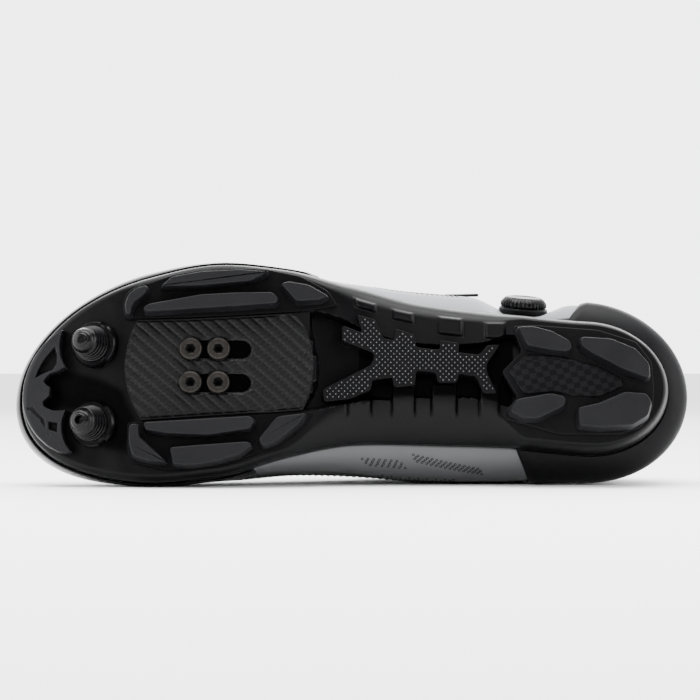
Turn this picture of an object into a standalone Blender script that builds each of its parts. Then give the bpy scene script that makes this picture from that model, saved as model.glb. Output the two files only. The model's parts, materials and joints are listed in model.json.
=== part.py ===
"""Left off-road cycling shoe, empty and unbent, lying on its inner side.

The shoe is drawn upright first: X runs from the heel to the toe, Y to the outer
(lateral) side and Z up from the plane of the tread. Each piece is worked out there
from the named sizes and the short tables. Last, one empty lays them all down on the
medial side, on the face that carries the shoe's weight. Lengths are in metres.
"""
import math

import bmesh
import bpy
import numpy as np
from mathutils import Matrix, Vector

for old in list(bpy.data.objects):
    bpy.data.objects.remove(old, do_unlink=True)

# Sizes of the last and the upper
LENGTH = 0.280            # toe to heel, outside
BALL_WIDTH = 0.0925       # outside of the rand, across the ball
WAIST_WIDTH = 0.080       # upper across the waist
HEEL_WIDTH = 0.0765       # outside of the heel counter
COLLAR_WIDTH = 0.062      # across the collar at the ankle
THROAT_WIDTH = 0.036      # gap between the eyestay edges
COLLAR_HEIGHT = 0.099     # back of the collar above the tread plane
INSTEP_HEIGHT = 0.104     # top of the throat
VAMP_HEIGHT = 0.066       # front end of the throat
WALL = 0.0018             # thickness of the upper

# Sizes of the sole
SOLE_BALL_WIDTH = 0.0885
SOLE_WAIST_WIDTH = 0.0595
SOLE_HEEL_WIDTH = 0.0555
HEEL_RISE = 0.026         # feather line above the tread plane, at the heel
WAIST_RISE = 0.028
BALL_RISE = 0.0155
TOE_RISE = 0.031
RIM_BAND = 0.003          # upright band at the top of the sole's side
HEEL_BASE = 0.010         # sole surface under the heel tread
WAIST_BASE = 0.017        # floor of the hollow under the arch
BALL_BASE = 0.009         # sole surface under the forefoot tread
TOE_SLOPE = 0.33          # rise of the toe per length
TOE_BEND_START = 0.80     # shares of the length
TOE_BEND_END = 0.85
SOLE_BACK = 0.028
SOLE_FRONT = 0.992

# Sizes of the tread, the cleat plate and the studs
TREAD_WIDTH = 0.086       # across both forefoot treads
HEEL_TREAD_WIDTH = 0.052
ARCH_WIDTH = 0.056        # width that the arch web and the side ribs are drawn on
BALL_PAD_FACE = 0.0070
HEEL_PAD_FACE = 0.0085
LUG_DRAFT = 0.16          # spread of a lug per height
LUG_ROOT = 0.0004         # how far a lug's root reaches into its pad
CORNER_GAP = 0.0003       # corners of a pad or lug stay this far apart
TOE_TREAD_HEIGHT = 0.0055
PLATE_FACE = 0.0064
PLATE_RADIUS = 0.039
PLATE_ALONG = 0.695
PLATE_ACROSS = 0.040
SLOT_WIDTH = 0.0074
SLOT_LENGTH = 0.028
SLOT_PITCH = 0.014        # two-bolt cleat pattern
SLOT_SHIFT = 0.001        # slots ahead of the plate's middle
BOLT_HEAD_RADIUS = 0.0049
BOLT_HEAD_HEIGHT = 0.0026
BOLT_SHANK_RADIUS = 0.0025
BOLT_SOCKET = 0.0046      # across the socket's corners
BOLT_PITCH = 0.0115
BOLT_SHIFT = 0.0050       # bolts ahead of their slot's middle
STUD_RADIUS = 0.0100
STUD_COLLAR = 0.0030
STUD_HEIGHT = 0.0165
STUD_RINGS = 5
WEB_FACE = 0.010
RIB_FACE = 0.0145
RIB_ROOT = 0.003          # how far a side rib's root stays under the insole face

# Sizes of the overlays, the lining pieces and the closure
OVERLAY = 0.0013          # thickness of the counter and the rand
INSOLE_THICKNESS = 0.0040
INSOLE_CLEARANCE = 0.0012
INSOLE_SEAT = 0.0009      # gap under the insole, clear of the facets of the footbed
TONGUE_THICKNESS = 0.0040
TONGUE_CROWN = 0.0060     # how far the tongue bulges between its edges at its top
TONGUE_SAG = 0.0066       # how far it lies lower at its front, clear of the vamp
LACE_CROWN = 0.10         # rise of the lace between two guides, per width
TONGUE_GAP = 0.0006
HEEL_PANEL_THICKNESS = 0.0008
DIAL_TURN = 0.326         # place of the dial on the upper
DIAL_RISE = 0.30
DIAL_RADIUS = 0.0103
DIAL_BASE_HEIGHT = 0.0015
DIAL_KNOB_HEIGHT = 0.0042
DIAL_HOLLOW = 0.0050      # depth of the hollow in the upper that the dial sits in
DIAL_HOLLOW_TURN = 0.041  # reach of the hollow along and up the upper
DIAL_HOLLOW_RISE = 0.26
DIAL_TEETH = 20
GUIDE_LENGTH = 0.008
GUIDE_WIDTH = 0.007
GUIDE_HEIGHT = 0.0030
LACE_DIAMETER = 0.0014
LACE_CLEARANCE = 0.0009    # from the guides' tops
SEAT = 0.0003             # gap that touching pieces keep

# Shape of the plan
HEEL_ROUND = 0.15         # share of the length where the heel starts to round in
TOE_ROUND = 0.72
SPINE_BACK = 0.13         # ends of the spine that the sole's rays start from
SPINE_FRONT = 0.85

BOLT_SIDES = 20
STUD_SIDES = 18


def material(name, colour, roughness, metallic=0.0):
    """One Principled material."""
    made = bpy.data.materials.new(name)
    made.use_nodes = True
    shader = made.node_tree.nodes["Principled BSDF"]
    shader.inputs["Base Color"].default_value = (*colour, 1.0)
    shader.inputs["Roughness"].default_value = roughness
    shader.inputs["Metallic"].default_value = metallic
    return made


NYLON = material("moulded_nylon", (0.020, 0.021, 0.023), 0.42)
RUBBER = material("tread_rubber", (0.016, 0.017, 0.018), 0.55)
MICROFIBRE = material("silver_microfibre", (0.50, 0.52, 0.54), 0.45)
FILM = material("black_film", (0.012, 0.012, 0.014), 0.25)
MESH_CLOTH = material("tongue_cloth", (0.05, 0.05, 0.055), 0.85)
FOAM = material("insole_foam", (0.08, 0.08, 0.09), 0.90)
STEEL = material("bolt_steel", (0.28, 0.25, 0.22), 0.35, 1.0)
CARBON = material("carbon_look", (0.035, 0.036, 0.038), 0.30)
CORD = material("lace_cord", (0.03, 0.03, 0.03), 0.60)


def plan_table():
    """Rows: along, centre line, sole half to each side, upper half."""
    heel, waist, ball = SOLE_HEEL_WIDTH, SOLE_WAIST_WIDTH, SOLE_BALL_WIDTH
    overlay = OVERLAY + SEAT
    return np.array([
        # along, centre, sole lateral, sole medial, upper
        (0.00, -0.055 * ball, 0.495 * heel, 0.505 * heel, 0.50 * HEEL_WIDTH - overlay),
        (0.15, -0.034 * ball, 0.495 * heel, 0.505 * heel, 0.50 * HEEL_WIDTH - overlay),
        (0.28, -0.018 * ball, 0.500 * waist, 0.440 * waist, 0.485 * WAIST_WIDTH),
        (0.40, 0.000 * ball, 0.550 * waist, 0.450 * waist, 0.500 * WAIST_WIDTH),
        (0.50, 0.028 * ball, 0.620 * waist, 0.500 * waist, 0.502 * WAIST_WIDTH),
        (0.60, 0.045 * ball, 0.465 * ball, 0.425 * ball, 0.470 * BALL_WIDTH - overlay),
        (0.70, 0.034 * ball, 0.494 * ball, 0.506 * ball, 0.500 * BALL_WIDTH - overlay),
        (0.80, 0.000 * ball, 0.482 * ball, 0.516 * ball, 0.500 * BALL_WIDTH - overlay),
        (0.90, -0.040 * ball, 0.480 * ball, 0.506 * ball, 0.500 * BALL_WIDTH - overlay),
        (1.00, -0.095 * ball, 0.475 * ball, 0.500 * ball, 0.500 * BALL_WIDTH - overlay),
    ])


def height_table():
    """Rows: along, feather line, widest line of the upper."""
    return np.array([
        # along, feather, widest
        (0.00, 1.03 * HEEL_RISE, 1.34 * HEEL_RISE),
        (0.15, 1.00 * HEEL_RISE, 1.32 * HEEL_RISE),
        (0.28, 0.97 * WAIST_RISE, 1.42 * WAIST_RISE),
        (0.40, 1.00 * WAIST_RISE, 1.45 * WAIST_RISE),
        (0.50, 0.88 * WAIST_RISE, 1.28 * WAIST_RISE),
        (0.60, 1.20 * BALL_RISE, 1.85 * BALL_RISE),
        (0.70, 1.00 * BALL_RISE, 1.38 * BALL_RISE),
        (0.80, 1.03 * BALL_RISE, 1.42 * BALL_RISE),
        (0.90, 0.69 * TOE_RISE, 1.02 * TOE_RISE),
        (1.00, 1.00 * TOE_RISE, 1.30 * TOE_RISE),
    ])


def opening_table():
    """Rows: turn from the heel (0) to the front of the throat (1), along, half width, height."""
    return np.array([
        # turn, along, half, height
        (0.00, 0.045, 0.00 * COLLAR_WIDTH, 1.00 * COLLAR_HEIGHT),
        (0.10, 0.057, 0.19 * COLLAR_WIDTH, 0.985 * COLLAR_HEIGHT),
        (0.20, 0.103, 0.385 * COLLAR_WIDTH, 0.93 * COLLAR_HEIGHT),
        (0.30, 0.190, 0.490 * COLLAR_WIDTH, 0.86 * COLLAR_HEIGHT),
        (0.40, 0.295, 0.510 * COLLAR_WIDTH, 0.89 * COLLAR_HEIGHT),
        (0.50, 0.395, 0.430 * COLLAR_WIDTH, 1.00 * INSTEP_HEIGHT),
        (0.60, 0.475, 0.580 * THROAT_WIDTH, 0.90 * INSTEP_HEIGHT),
        (0.70, 0.550, 0.490 * THROAT_WIDTH, 0.78 * INSTEP_HEIGHT),
        (0.80, 0.610, 0.450 * THROAT_WIDTH, 1.08 * VAMP_HEIGHT),
        (0.90, 0.655, 0.330 * THROAT_WIDTH, 1.01 * VAMP_HEIGHT),
        (1.00, 0.675, 0.00 * THROAT_WIDTH, 1.00 * VAMP_HEIGHT),
    ])


def flat_table():
    """Rows: along, share of the sole's half that lies flat, lateral and medial."""
    return np.array([
        (0.00, 0.88, 0.88),
        (0.24, 0.88, 0.88),
        (0.30, 0.76, 0.30),
        (0.38, 0.72, 0.12),
        (0.47, 0.72, 0.12),
        (0.53, 0.84, 0.50),
        (0.60, 0.93, 0.92),
        (1.00, 0.93, 0.93),
    ])


def flow(rows, column, along, level_ends=False):
    """Cubic through one column of a table that never runs past its rows.

    Each slope is the harmonic mean of its two chords, and level at a crest or a dip.
    """
    xs, ys = rows[:, 0], rows[:, column]
    chord = np.diff(ys) / np.diff(xs)
    before, after = chord[:-1], chord[1:]
    same_way = before * after > 0
    total = np.where(same_way, before + after, 1.0)
    inner = np.where(same_way, 2 * before * after / total, 0.0)
    ends = (0.0, 0.0) if level_ends else (chord[0], chord[-1])
    slope = np.concatenate(([ends[0]], inner, [ends[1]]))
    left = np.clip(np.searchsorted(xs, along, side="right") - 1, 0, len(xs) - 2)
    step = xs[left + 1] - xs[left]
    t = (along - xs[left]) / step
    return (ys[left] * (1 + 2 * t) * (1 - t) ** 2 + ys[left + 1] * t * t * (3 - 2 * t)
            + step * (slope[left] * t * (1 - t) ** 2 - slope[left + 1] * t * t * (1 - t)))


def smooth(low, high, value):
    """0 below low, 1 above high, and an S-curve between them."""
    t = np.clip((value - low) / (high - low), 0.0, 1.0)
    return t * t * (3 - 2 * t)


PLAN = plan_table()
HEIGHTS = height_table()
OPENING = opening_table()
FLAT = flat_table()


def centre(along):
    """Centre line of the shoe seen from below."""
    return flow(PLAN, 1, along)


def end_round(along, back, front):
    """Share of the half width left where the heel and the toe round in."""
    heel = np.clip((HEEL_ROUND - along) / (HEEL_ROUND - back), 0.0, 1.0)
    toe = np.clip((along - TOE_ROUND) / (front - TOE_ROUND), 0.0, 1.0)
    return np.sqrt(1 - heel ** 2) * (1 - toe ** 2.2) ** (1 / 2.1)


def along_of(turn, back, front):
    """Place along the shoe: turn 0 is the heel, 1 and -1 the toe, positive on the lateral side."""
    return back + (front - back) * (1 - np.cos(math.pi * np.abs(turn))) / 2


def sole_half(along, lateral):
    """Half width of the sole to one side, with the ends rounded."""
    full = np.where(lateral, flow(PLAN, 2, along), flow(PLAN, 3, along))
    return full * end_round(along, SOLE_BACK, SOLE_FRONT)


def rim(turn):
    """Edge of the sole at the feather line: x, y and height."""
    along = along_of(turn, SOLE_BACK, SOLE_FRONT)
    lateral = turn > 0
    across = centre(along) + np.where(lateral, 1, -1) * sole_half(along, lateral)
    return LENGTH * along, across, flow(HEIGHTS, 1, along)


def upper_surface(turn, rise):
    """Outer face of the upper.

    Each rib leaves the sole's edge (rise 0), swells to the widest line and closes over to
    the collar or the throat (rise 1): two quarter arcs with an upright tangent between them.
    """
    turn = (turn + 1) % 2 - 1
    side = np.where(turn > 0, 1.0, -1.0)
    foot_x, foot_y, foot_z = rim(turn)
    foot_z = foot_z + SEAT
    along = along_of(turn, 0.0, 1.0)
    wide_x = LENGTH * along
    wide_y = centre(along) + side * flow(PLAN, 4, along) * end_round(along, 0.0, 1.0)
    wide_z = flow(HEIGHTS, 2, along)
    away = np.abs(turn)
    open_along = flow(OPENING, 1, away, True)
    drop = 0.05 * COLLAR_HEIGHT * np.exp(-((turn - 0.30) / 0.12) ** 2)
    lean = 0.03 * COLLAR_WIDTH * smooth(0.2, 0.5, away) * (1 - smooth(0.85, 1.0, away))
    open_x = LENGTH * open_along
    open_y = centre(open_along) + side * flow(OPENING, 2, away) - lean
    open_z = flow(OPENING, 3, away, True) - drop
    over = smooth(0.36, 0.60, away)
    knee = 0.36
    low = np.clip(rise / knee, 0.0, 1.0)
    high = np.clip((rise - knee) / (1 - knee), 0.0, 1.0)
    swell = np.sin(low * math.pi / 2)
    lift = 0.55 * low + 0.45 * (1 - np.cos(low * math.pi / 2))
    bend = 1 - np.cos(high * math.pi / 2)
    inward = over * bend + (1 - over) * smooth(0.0, 1.0, high)
    climb = over * (0.72 * np.sin(high * math.pi / 2) + 0.28 * bend) + (1 - over) * high
    x = foot_x + (wide_x - foot_x) * swell + (open_x - wide_x) * inward
    y = foot_y + (wide_y - foot_y) * swell + (open_y - wide_y) * inward
    z = foot_z + (wide_z - foot_z) * lift + (open_z - wide_z) * climb
    reach = ((turn - DIAL_TURN) / DIAL_HOLLOW_TURN) ** 2 + ((rise - DIAL_RISE) / DIAL_HOLLOW_RISE) ** 2
    y = y - DIAL_HOLLOW * np.exp(-reach ** 2) * smooth(0.0, 0.10, rise)
    return np.stack(np.broadcast_arrays(x, y, z), axis=-1)


def upper_skin(turn, rise, offset):
    """The upper's outer face moved along its normal, outward where offset is positive."""
    turn, rise = np.broadcast_arrays(np.asarray(turn, float), np.asarray(rise, float))
    small = 0.002
    ahead = upper_surface(turn + small, rise) - upper_surface(turn - small, rise)
    top = np.clip(rise + small, 0.0, 1.0)
    bottom = np.clip(rise - small, 0.0, 1.0)
    upward = upper_surface(turn, top) - upper_surface(turn, bottom)
    normal = np.cross(upward, ahead)
    normal /= np.linalg.norm(normal, axis=-1, keepdims=True)
    return upper_surface(turn, rise) + normal * np.asarray(offset)[..., None]


def mesh_object(name, vertices, faces, finish):
    """A mesh object whose faces all point outward."""
    mesh = bpy.data.meshes.new(name)
    mesh.from_pydata([tuple(v) for v in vertices], [], faces)
    work = bmesh.new()
    work.from_mesh(mesh)
    bmesh.ops.remove_doubles(work, verts=work.verts, dist=0.00001)
    bmesh.ops.recalc_face_normals(work, faces=work.faces)
    work.to_mesh(mesh)
    work.free()
    mesh.materials.append(finish)
    made = bpy.data.objects.new(name, mesh)
    bpy.context.collection.objects.link(made)
    return made


def loft(name, sections, finish, joined=False, capped=False):
    """Solid through closed sections with equal counts of points.

    joined links the last section to the first, and capped closes each end of a folded
    section, whose points run out along one face and back along the other.
    """
    sections = np.asarray(sections)
    rows, count = sections.shape[:2]
    faces = []
    for row in range(rows if joined else rows - 1):
        after = (row + 1) % rows
        for i in range(count):
            j = (i + 1) % count
            faces.append((row * count + i, row * count + j, after * count + j, after * count + i))
    if capped:
        for row in (0, rows - 1):
            for i in range(count // 2 - 1):
                mate = count - 1 - i
                faces.append(tuple(row * count + k for k in (i, i + 1, mate - 1, mate)))
    return mesh_object(name, sections.reshape(-1, 3), faces, finish)


def grow(outline, distance):
    """Outline moved outward by a distance, corner by corner; it runs either way round."""
    points = np.asarray(outline, float)
    ahead = np.roll(points, -1, axis=0) - points
    ahead /= np.linalg.norm(ahead, axis=1, keepdims=True)
    behind = np.roll(ahead, 1, axis=0)
    normals = np.stack((ahead[:, 1] + behind[:, 1], -ahead[:, 0] - behind[:, 0]), axis=1)
    area = np.sum(points[:, 0] * np.roll(points[:, 1], -1) - np.roll(points[:, 0], -1) * points[:, 1])
    normals *= math.copysign(1.0, area)
    size = np.linalg.norm(normals, axis=1, keepdims=True)
    mitre = np.minimum(2 / np.maximum(size, 0.2) ** 2, 2.0)
    return points + normals * mitre * distance


def prism(name, outline, face, root, finish, draft=0.0):
    """Block with its face down: the outline at the face, spread by the draft at the root.

    face and root are heights, or arrays of one height for each corner.
    """
    outline = np.asarray(outline, float)
    face = np.broadcast_to(face, len(outline))
    root = np.broadcast_to(root, len(outline))
    spread = grow(outline, draft * float(np.mean(root - face)))
    low = np.column_stack((outline, face))
    high = np.column_stack((spread, root))
    count = len(outline)
    faces = [tuple(range(count)), tuple(range(count, 2 * count))]
    faces += [(i, (i + 1) % count, count + (i + 1) % count, count + i) for i in range(count)]
    return mesh_object(name, np.vstack((low, high)), faces, finish)


def lathe(name, profile, sides, finish):
    """Turned solid about Z: profile rows of radius and height, both ends on the axis."""
    angles = np.arange(sides) * 2 * math.pi / sides
    sections = [np.column_stack((r * np.cos(angles), r * np.sin(angles), np.full(sides, z)))
                for r, z in profile]
    return loft(name, sections, finish)


def helper(form):
    """Hides a form that only joins or cuts another piece."""
    form.hide_render = True
    form.display_type = "WIRE"
    return form


def combine(target, form, operation):
    """Joins or cuts the target with a hidden form."""
    step = target.modifiers.new(form.name, "BOOLEAN")
    step.operation = operation
    step.solver = "EXACT"
    step.object = helper(form)


# The sole

def base_height(along):
    """Height of the sole's lower face away from its side walls."""
    heel_to_waist = smooth(0.252, 0.272, along)
    waist_to_ball = smooth(0.550, 0.570, along)
    flat = (HEEL_BASE + (WAIST_BASE - HEEL_BASE) * heel_to_waist
            + (BALL_BASE - WAIST_BASE) * waist_to_ball)
    bend = TOE_BEND_END - TOE_BEND_START
    t = np.clip(along - TOE_BEND_START, 0.0, None)
    rise = np.where(t < bend, t * t / (2 * bend), t - bend / 2)
    return flat + TOE_SLOPE * LENGTH * rise


def spine(turn):
    """Inner end of each ray of the sole, on the centre line."""
    along = np.clip(along_of(turn, SOLE_BACK, SOLE_FRONT), SPINE_BACK, SPINE_FRONT)
    return LENGTH * along, centre(along)


def flat_share(turn):
    """Share of each ray that lies on the flat base."""
    along = along_of(turn, SOLE_BACK, SOLE_FRONT)
    return np.where(turn > 0, flow(FLAT, 1, along), flow(FLAT, 2, along))


def ray_points(turn, ring):
    """Plan point at a share of each ray from the spine to the rim."""
    start_x, start_y = spine(turn)
    edge_x, edge_y, _ = rim(turn)
    return start_x + ring * (edge_x - start_x), start_y + ring * (edge_y - start_y)


def sole_under(turn, ring):
    """Lower face of the sole: the flat base, then a quarter arc up to the rim's band."""
    x, y = ray_points(turn, ring)
    along = x / LENGTH
    flat = flat_share(turn)
    out = np.clip((ring - flat) / (1 - flat), 0.0, 1.0)
    top = rim(turn)[2] - RIM_BAND
    wall = 1 - np.sqrt(1 - out ** 2)
    base = base_height(along)
    return np.column_stack((x, y, base + (top - base) * wall))


TOP_RING = 0.7            # the ring that the sole's upper face is faceted at
SOLE_CUP = 0.45           # share of the sole's thickness that its footbed is sunk by


def sole_top(turn, share):
    """Sunk upper face of the sole, on the facets between the spine, one ring and the rim."""
    share = np.broadcast_to(share, len(turn))
    knots = []
    for ring in (0.0, TOP_RING, 1.0):
        x, y = ray_points(turn, ring)
        level = flow(HEIGHTS, 1, x / LENGTH)
        if ring < 1.0:
            level = level - SOLE_CUP * (level - base_height(x / LENGTH))
        knots.append(np.column_stack((x, y, level)))
    inner = np.clip(share / TOP_RING, 0.0, 1.0)[:, None]
    outer = np.clip((share - TOP_RING) / (1 - TOP_RING), 0.0, 1.0)[:, None]
    return knots[0] + (knots[1] - knots[0]) * inner + (knots[2] - knots[1]) * outer


def sole_turns():
    """Turns of the sole's rays: even in the middle, close at the ends and at the steps."""
    ends = np.linspace(0.0, 0.30, 10)
    alongs = np.array([0.230, 0.252, 0.258, 0.266, 0.272, 0.31, 0.35, 0.39, 0.43, 0.47, 0.51,
                       0.550, 0.556, 0.564, 0.570, 0.61, 0.65, 0.69, 0.73, 0.765])
    share = (alongs - SOLE_BACK) / (SOLE_FRONT - SOLE_BACK)
    middle = np.arccos(1 - 2 * share) / math.pi
    front = np.linspace(0.70, 1.0, 11)
    half = np.unique(np.concatenate((ends[ends < middle[0] - 0.01], middle,
                                     front[front > middle[-1] + 0.01])))
    return np.concatenate((-half[:0:-1], half[:-1]))


def make_sole():
    """Moulded shell under the whole foot, with the ribs of its sides joined on."""
    turn = sole_turns()
    flat = flat_share(turn)
    rings = [sole_under(turn, flat * share) for share in (0.0, 0.5, 1.0)]
    rings += [sole_under(turn, flat + (1 - flat) * share) for share in (0.4, 0.7, 0.9, 1.0)]
    edge_x, edge_y, edge_z = rim(turn)
    rings.append(np.column_stack((edge_x, edge_y, edge_z)))
    rings += [sole_top(turn, share) for share in (TOP_RING, 0.0)]
    shell = loft("sole_shell", rings, NYLON)
    for index, outline in enumerate(SIDE_RIBS):
        points = plan_points(outline, ARCH_WIDTH)
        roots = flow(HEIGHTS, 1, points[:, 0] / LENGTH) - RIB_ROOT
        roots = np.minimum(roots, WAIST_BASE + RIB_ROOT * 1.5)
        combine(shell, prism("rib_form_%d" % index, points, RIB_FACE, roots, NYLON), "UNION")
    return shell


def plan_points(outline, width):
    """Outline in metres from shares of the length and of a width."""
    points = np.asarray(outline, float)
    return np.column_stack((points[:, 0] * LENGTH, points[:, 1] * width))


def keep_on_flat(points, margin=0.02):
    """Corners past the flat part of the sole come in along their own ray; doubles are dropped."""
    turn = np.linspace(-1, 1, 1441)[:-1]
    start_x, start_y = spine(turn)
    edge_x, edge_y, _ = rim(turn)
    kept = []
    for x, y in points:
        foot = np.clip(x / LENGTH, SPINE_BACK, SPINE_FRONT)
        ray = np.array((x - LENGTH * foot, y - centre(foot)))
        here = np.column_stack((edge_x - LENGTH * foot, edge_y - centre(foot)))
        reach = np.linalg.norm(here, axis=1)
        facing = (here @ ray) / (reach * max(np.linalg.norm(ray), 1e-6))
        nearest = int(np.argmax(facing))
        limit = reach[nearest] * (flat_share(turn[nearest:nearest + 1])[0] - margin)
        share = min(1.0, limit / max(np.linalg.norm(ray), 1e-6))
        kept.append((LENGTH * foot + ray[0] * share, centre(foot) + ray[1] * share))
    kept = np.array(kept)
    step = np.linalg.norm(kept - np.roll(kept, 1, axis=0), axis=1)
    return kept[step > CORNER_GAP]


# Outlines in shares: along the length, and across in the width that their piece names
SIDE_RIBS = (
    ((0.461, 0.45), (0.461, 0.54), (0.491, 0.57), (0.491, 0.48)),
    ((0.405, 0.40), (0.405, 0.48), (0.436, 0.52), (0.436, 0.44)),
    ((0.333, 0.30), (0.333, 0.43), (0.371, 0.45), (0.371, 0.32)),
    ((0.274, 0.27), (0.274, 0.40), (0.298, 0.42), (0.298, 0.29)),
    ((0.473, -0.14), (0.473, -0.30), (0.504, -0.32), (0.504, -0.20)),
    ((0.406, -0.10), (0.406, -0.27), (0.440, -0.27), (0.440, -0.12)),
    ((0.342, -0.10), (0.342, -0.25), (0.381, -0.25), (0.381, -0.09)),
)
LATERAL_PAD = ((0.836, 0.27), (0.838, 0.345), (0.832, 0.40), (0.819, 0.43), (0.80, 0.447),
               (0.763, 0.488), (0.722, 0.51), (0.666, 0.52), (0.624, 0.513), (0.575, 0.48),
               (0.535, 0.41), (0.52, 0.335), (0.58, 0.306), (0.674, 0.287), (0.75, 0.275))
LATERAL_LUGS = (
    ((0.831, 0.28), (0.833, 0.335), (0.828, 0.38), (0.816, 0.409), (0.802, 0.423),
     (0.802, 0.387), (0.819, 0.342), (0.824, 0.316), (0.825, 0.28)),
    ((0.781, 0.416), (0.775, 0.445), (0.762, 0.466), (0.721, 0.49), (0.665, 0.50),
     (0.625, 0.49), (0.617, 0.468), (0.648, 0.445), (0.721, 0.421)),
    ((0.807, 0.311), (0.80, 0.33), (0.721, 0.378), (0.673, 0.387), (0.617, 0.39),
     (0.608, 0.36), (0.611, 0.335), (0.673, 0.32), (0.721, 0.31), (0.803, 0.292)),
    ((0.604, 0.43), (0.594, 0.442), (0.563, 0.425), (0.535, 0.373), (0.546, 0.352),
     (0.581, 0.345)),
)
MEDIAL_PAD = ((0.83, -0.232), (0.722, -0.208), (0.649, -0.193), (0.609, -0.188),
              (0.575, -0.178), (0.555, -0.178), (0.572, -0.26), (0.608, -0.342), (0.649, -0.395),
              (0.685, -0.431), (0.737, -0.457), (0.772, -0.462), (0.823, -0.424), (0.829, -0.356))
MEDIAL_LUGS = (
    ((0.804, -0.241), (0.649, -0.21), (0.641, -0.232), (0.648, -0.27), (0.709, -0.301),
     (0.769, -0.294), (0.801, -0.277)),
    ((0.825, -0.251), (0.812, -0.248), (0.811, -0.31), (0.77, -0.43), (0.794, -0.427),
     (0.819, -0.402), (0.825, -0.334)),
    ((0.765, -0.361), (0.721, -0.349), (0.652, -0.332), (0.645, -0.349), (0.663, -0.393),
     (0.699, -0.428), (0.736, -0.445), (0.76, -0.44)),
    ((0.635, -0.32), (0.608, -0.212), (0.566, -0.195), (0.575, -0.239), (0.61, -0.33),
     (0.63, -0.354)),
)
HEEL_PAD = ((0.262, 0.40), (0.23, 0.41), (0.135, 0.372), (0.079, 0.277), (0.056, 0.111),
            (0.053, -0.095), (0.056, -0.269), (0.073, -0.411), (0.105, -0.47), (0.193, -0.47),
            (0.272, -0.387), (0.278, -0.308), (0.255, -0.174), (0.278, 0.032), (0.248, 0.198))
HEEL_LUGS = (
    ((0.255, 0.37), (0.232, 0.374), (0.205, 0.335), (0.18, 0.26), (0.176, 0.197),
     (0.185, 0.17), (0.207, 0.185), (0.242, 0.221)),
    ((0.161, 0.291), (0.118, 0.276), (0.083, 0.197), (0.063, 0.079), (0.062, -0.023),
     (0.067, -0.035), (0.099, 0.028), (0.148, 0.166), (0.163, 0.221)),
    ((0.256, -0.208), (0.207, -0.161), (0.186, -0.189), (0.188, -0.259), (0.224, -0.355),
     (0.246, -0.362), (0.268, -0.303)),
    ((0.167, -0.275), (0.135, -0.236), (0.099, -0.149), (0.068, -0.161), (0.06, -0.228),
     (0.066, -0.338), (0.088, -0.41), (0.135, -0.43), (0.166, -0.414)),
)
HEEL_INLAY = ((0.268, 0.032), (0.242, 0.165), (0.20, 0.155), (0.17, 0.12), (0.135, 0.07),
              (0.10, -0.03), (0.10, -0.09), (0.135, -0.17), (0.17, -0.16), (0.20, -0.13),
              (0.245, -0.15))
TOE_PAD = ((0.968, 0.17), (0.931, 0.223), (0.931, 0.175), (0.93, 0.117), (0.922, 0.058),
           (0.947, 0.029), (0.956, -0.015), (0.944, -0.024), (0.943, -0.058), (0.944, -0.092),
           (0.955, -0.114), (0.946, -0.141), (0.921, -0.141), (0.928, -0.18), (0.93, -0.223),
           (0.916, -0.335), (0.947, -0.364), (0.971, -0.301), (0.985, -0.219), (0.989, -0.121),
           (0.985, 0.0), (0.978, 0.087))
ARCH_WEB = ((0.514, 0.379), (0.484, 0.324), (0.492, 0.46), (0.464, 0.42), (0.453, 0.284),
            (0.436, 0.265), (0.435, 0.357), (0.406, 0.306), (0.404, 0.214), (0.369, 0.196),
            (0.369, 0.269), (0.34, 0.247), (0.342, 0.177), (0.311, 0.159), (0.299, 0.232),
            (0.28, 0.236), (0.299, 0.10), (0.30, 0.034), (0.285, -0.128), (0.305, -0.128),
            (0.315, -0.003), (0.341, 0.019), (0.344, -0.047), (0.372, -0.047), (0.375, 0.027),
            (0.404, 0.041), (0.406, -0.069), (0.437, -0.084), (0.439, -0.01), (0.469, -0.029),
            (0.471, -0.102), (0.503, -0.172), (0.54, -0.194), (0.543, -0.102), (0.472, 0.078),
            (0.466, 0.137), (0.468, 0.174), (0.514, 0.262))
TOE_STUDS = (("lateral", 0.879, 0.155), ("medial", 0.880, -0.222))


def make_tread(name, pad, lugs, width, pad_face, base):
    """One moulded tread: a pad on the sole's flat base with its lugs down to the tread plane."""
    outline = keep_on_flat(plan_points(pad, width))
    block = prism(name, outline, pad_face, base - SEAT, RUBBER)
    for index, lug in enumerate(lugs):
        points = keep_on_flat(plan_points(lug, width), 0.06)
        form = prism("%s_lug_form_%d" % (name, index), points, 0.0, pad_face + LUG_ROOT,
                     RUBBER, LUG_DRAFT)
        combine(block, form, "UNION")
    return block


def make_toe_tread():
    """Crescent of tread around the toe, on the slope of the toe."""
    points = keep_on_flat(plan_points(TOE_PAD, TREAD_WIDTH))
    base = base_height(points[:, 0] / LENGTH)
    return prism("tread_toe", points, base - TOE_TREAD_HEIGHT, base - SEAT, RUBBER)


def capsule(length, width, at, corners=8):
    """Outline of a slot along X, centred on a point."""
    bend = np.linspace(-math.pi / 2, math.pi / 2, corners)
    front = np.column_stack((np.cos(bend), np.sin(bend))) * width / 2
    front[:, 0] += (length - width) / 2
    return np.vstack((front, -front)) + np.asarray(at)


def slot_centres():
    """Middle of each slot: one on each side of the plate's middle, half the pitch away."""
    x, y = LENGTH * PLATE_ALONG, TREAD_WIDTH * PLATE_ACROSS
    return [(x + SLOT_SHIFT, y + SLOT_PITCH / 2), (x + SLOT_SHIFT, y - SLOT_PITCH / 2)]


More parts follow.
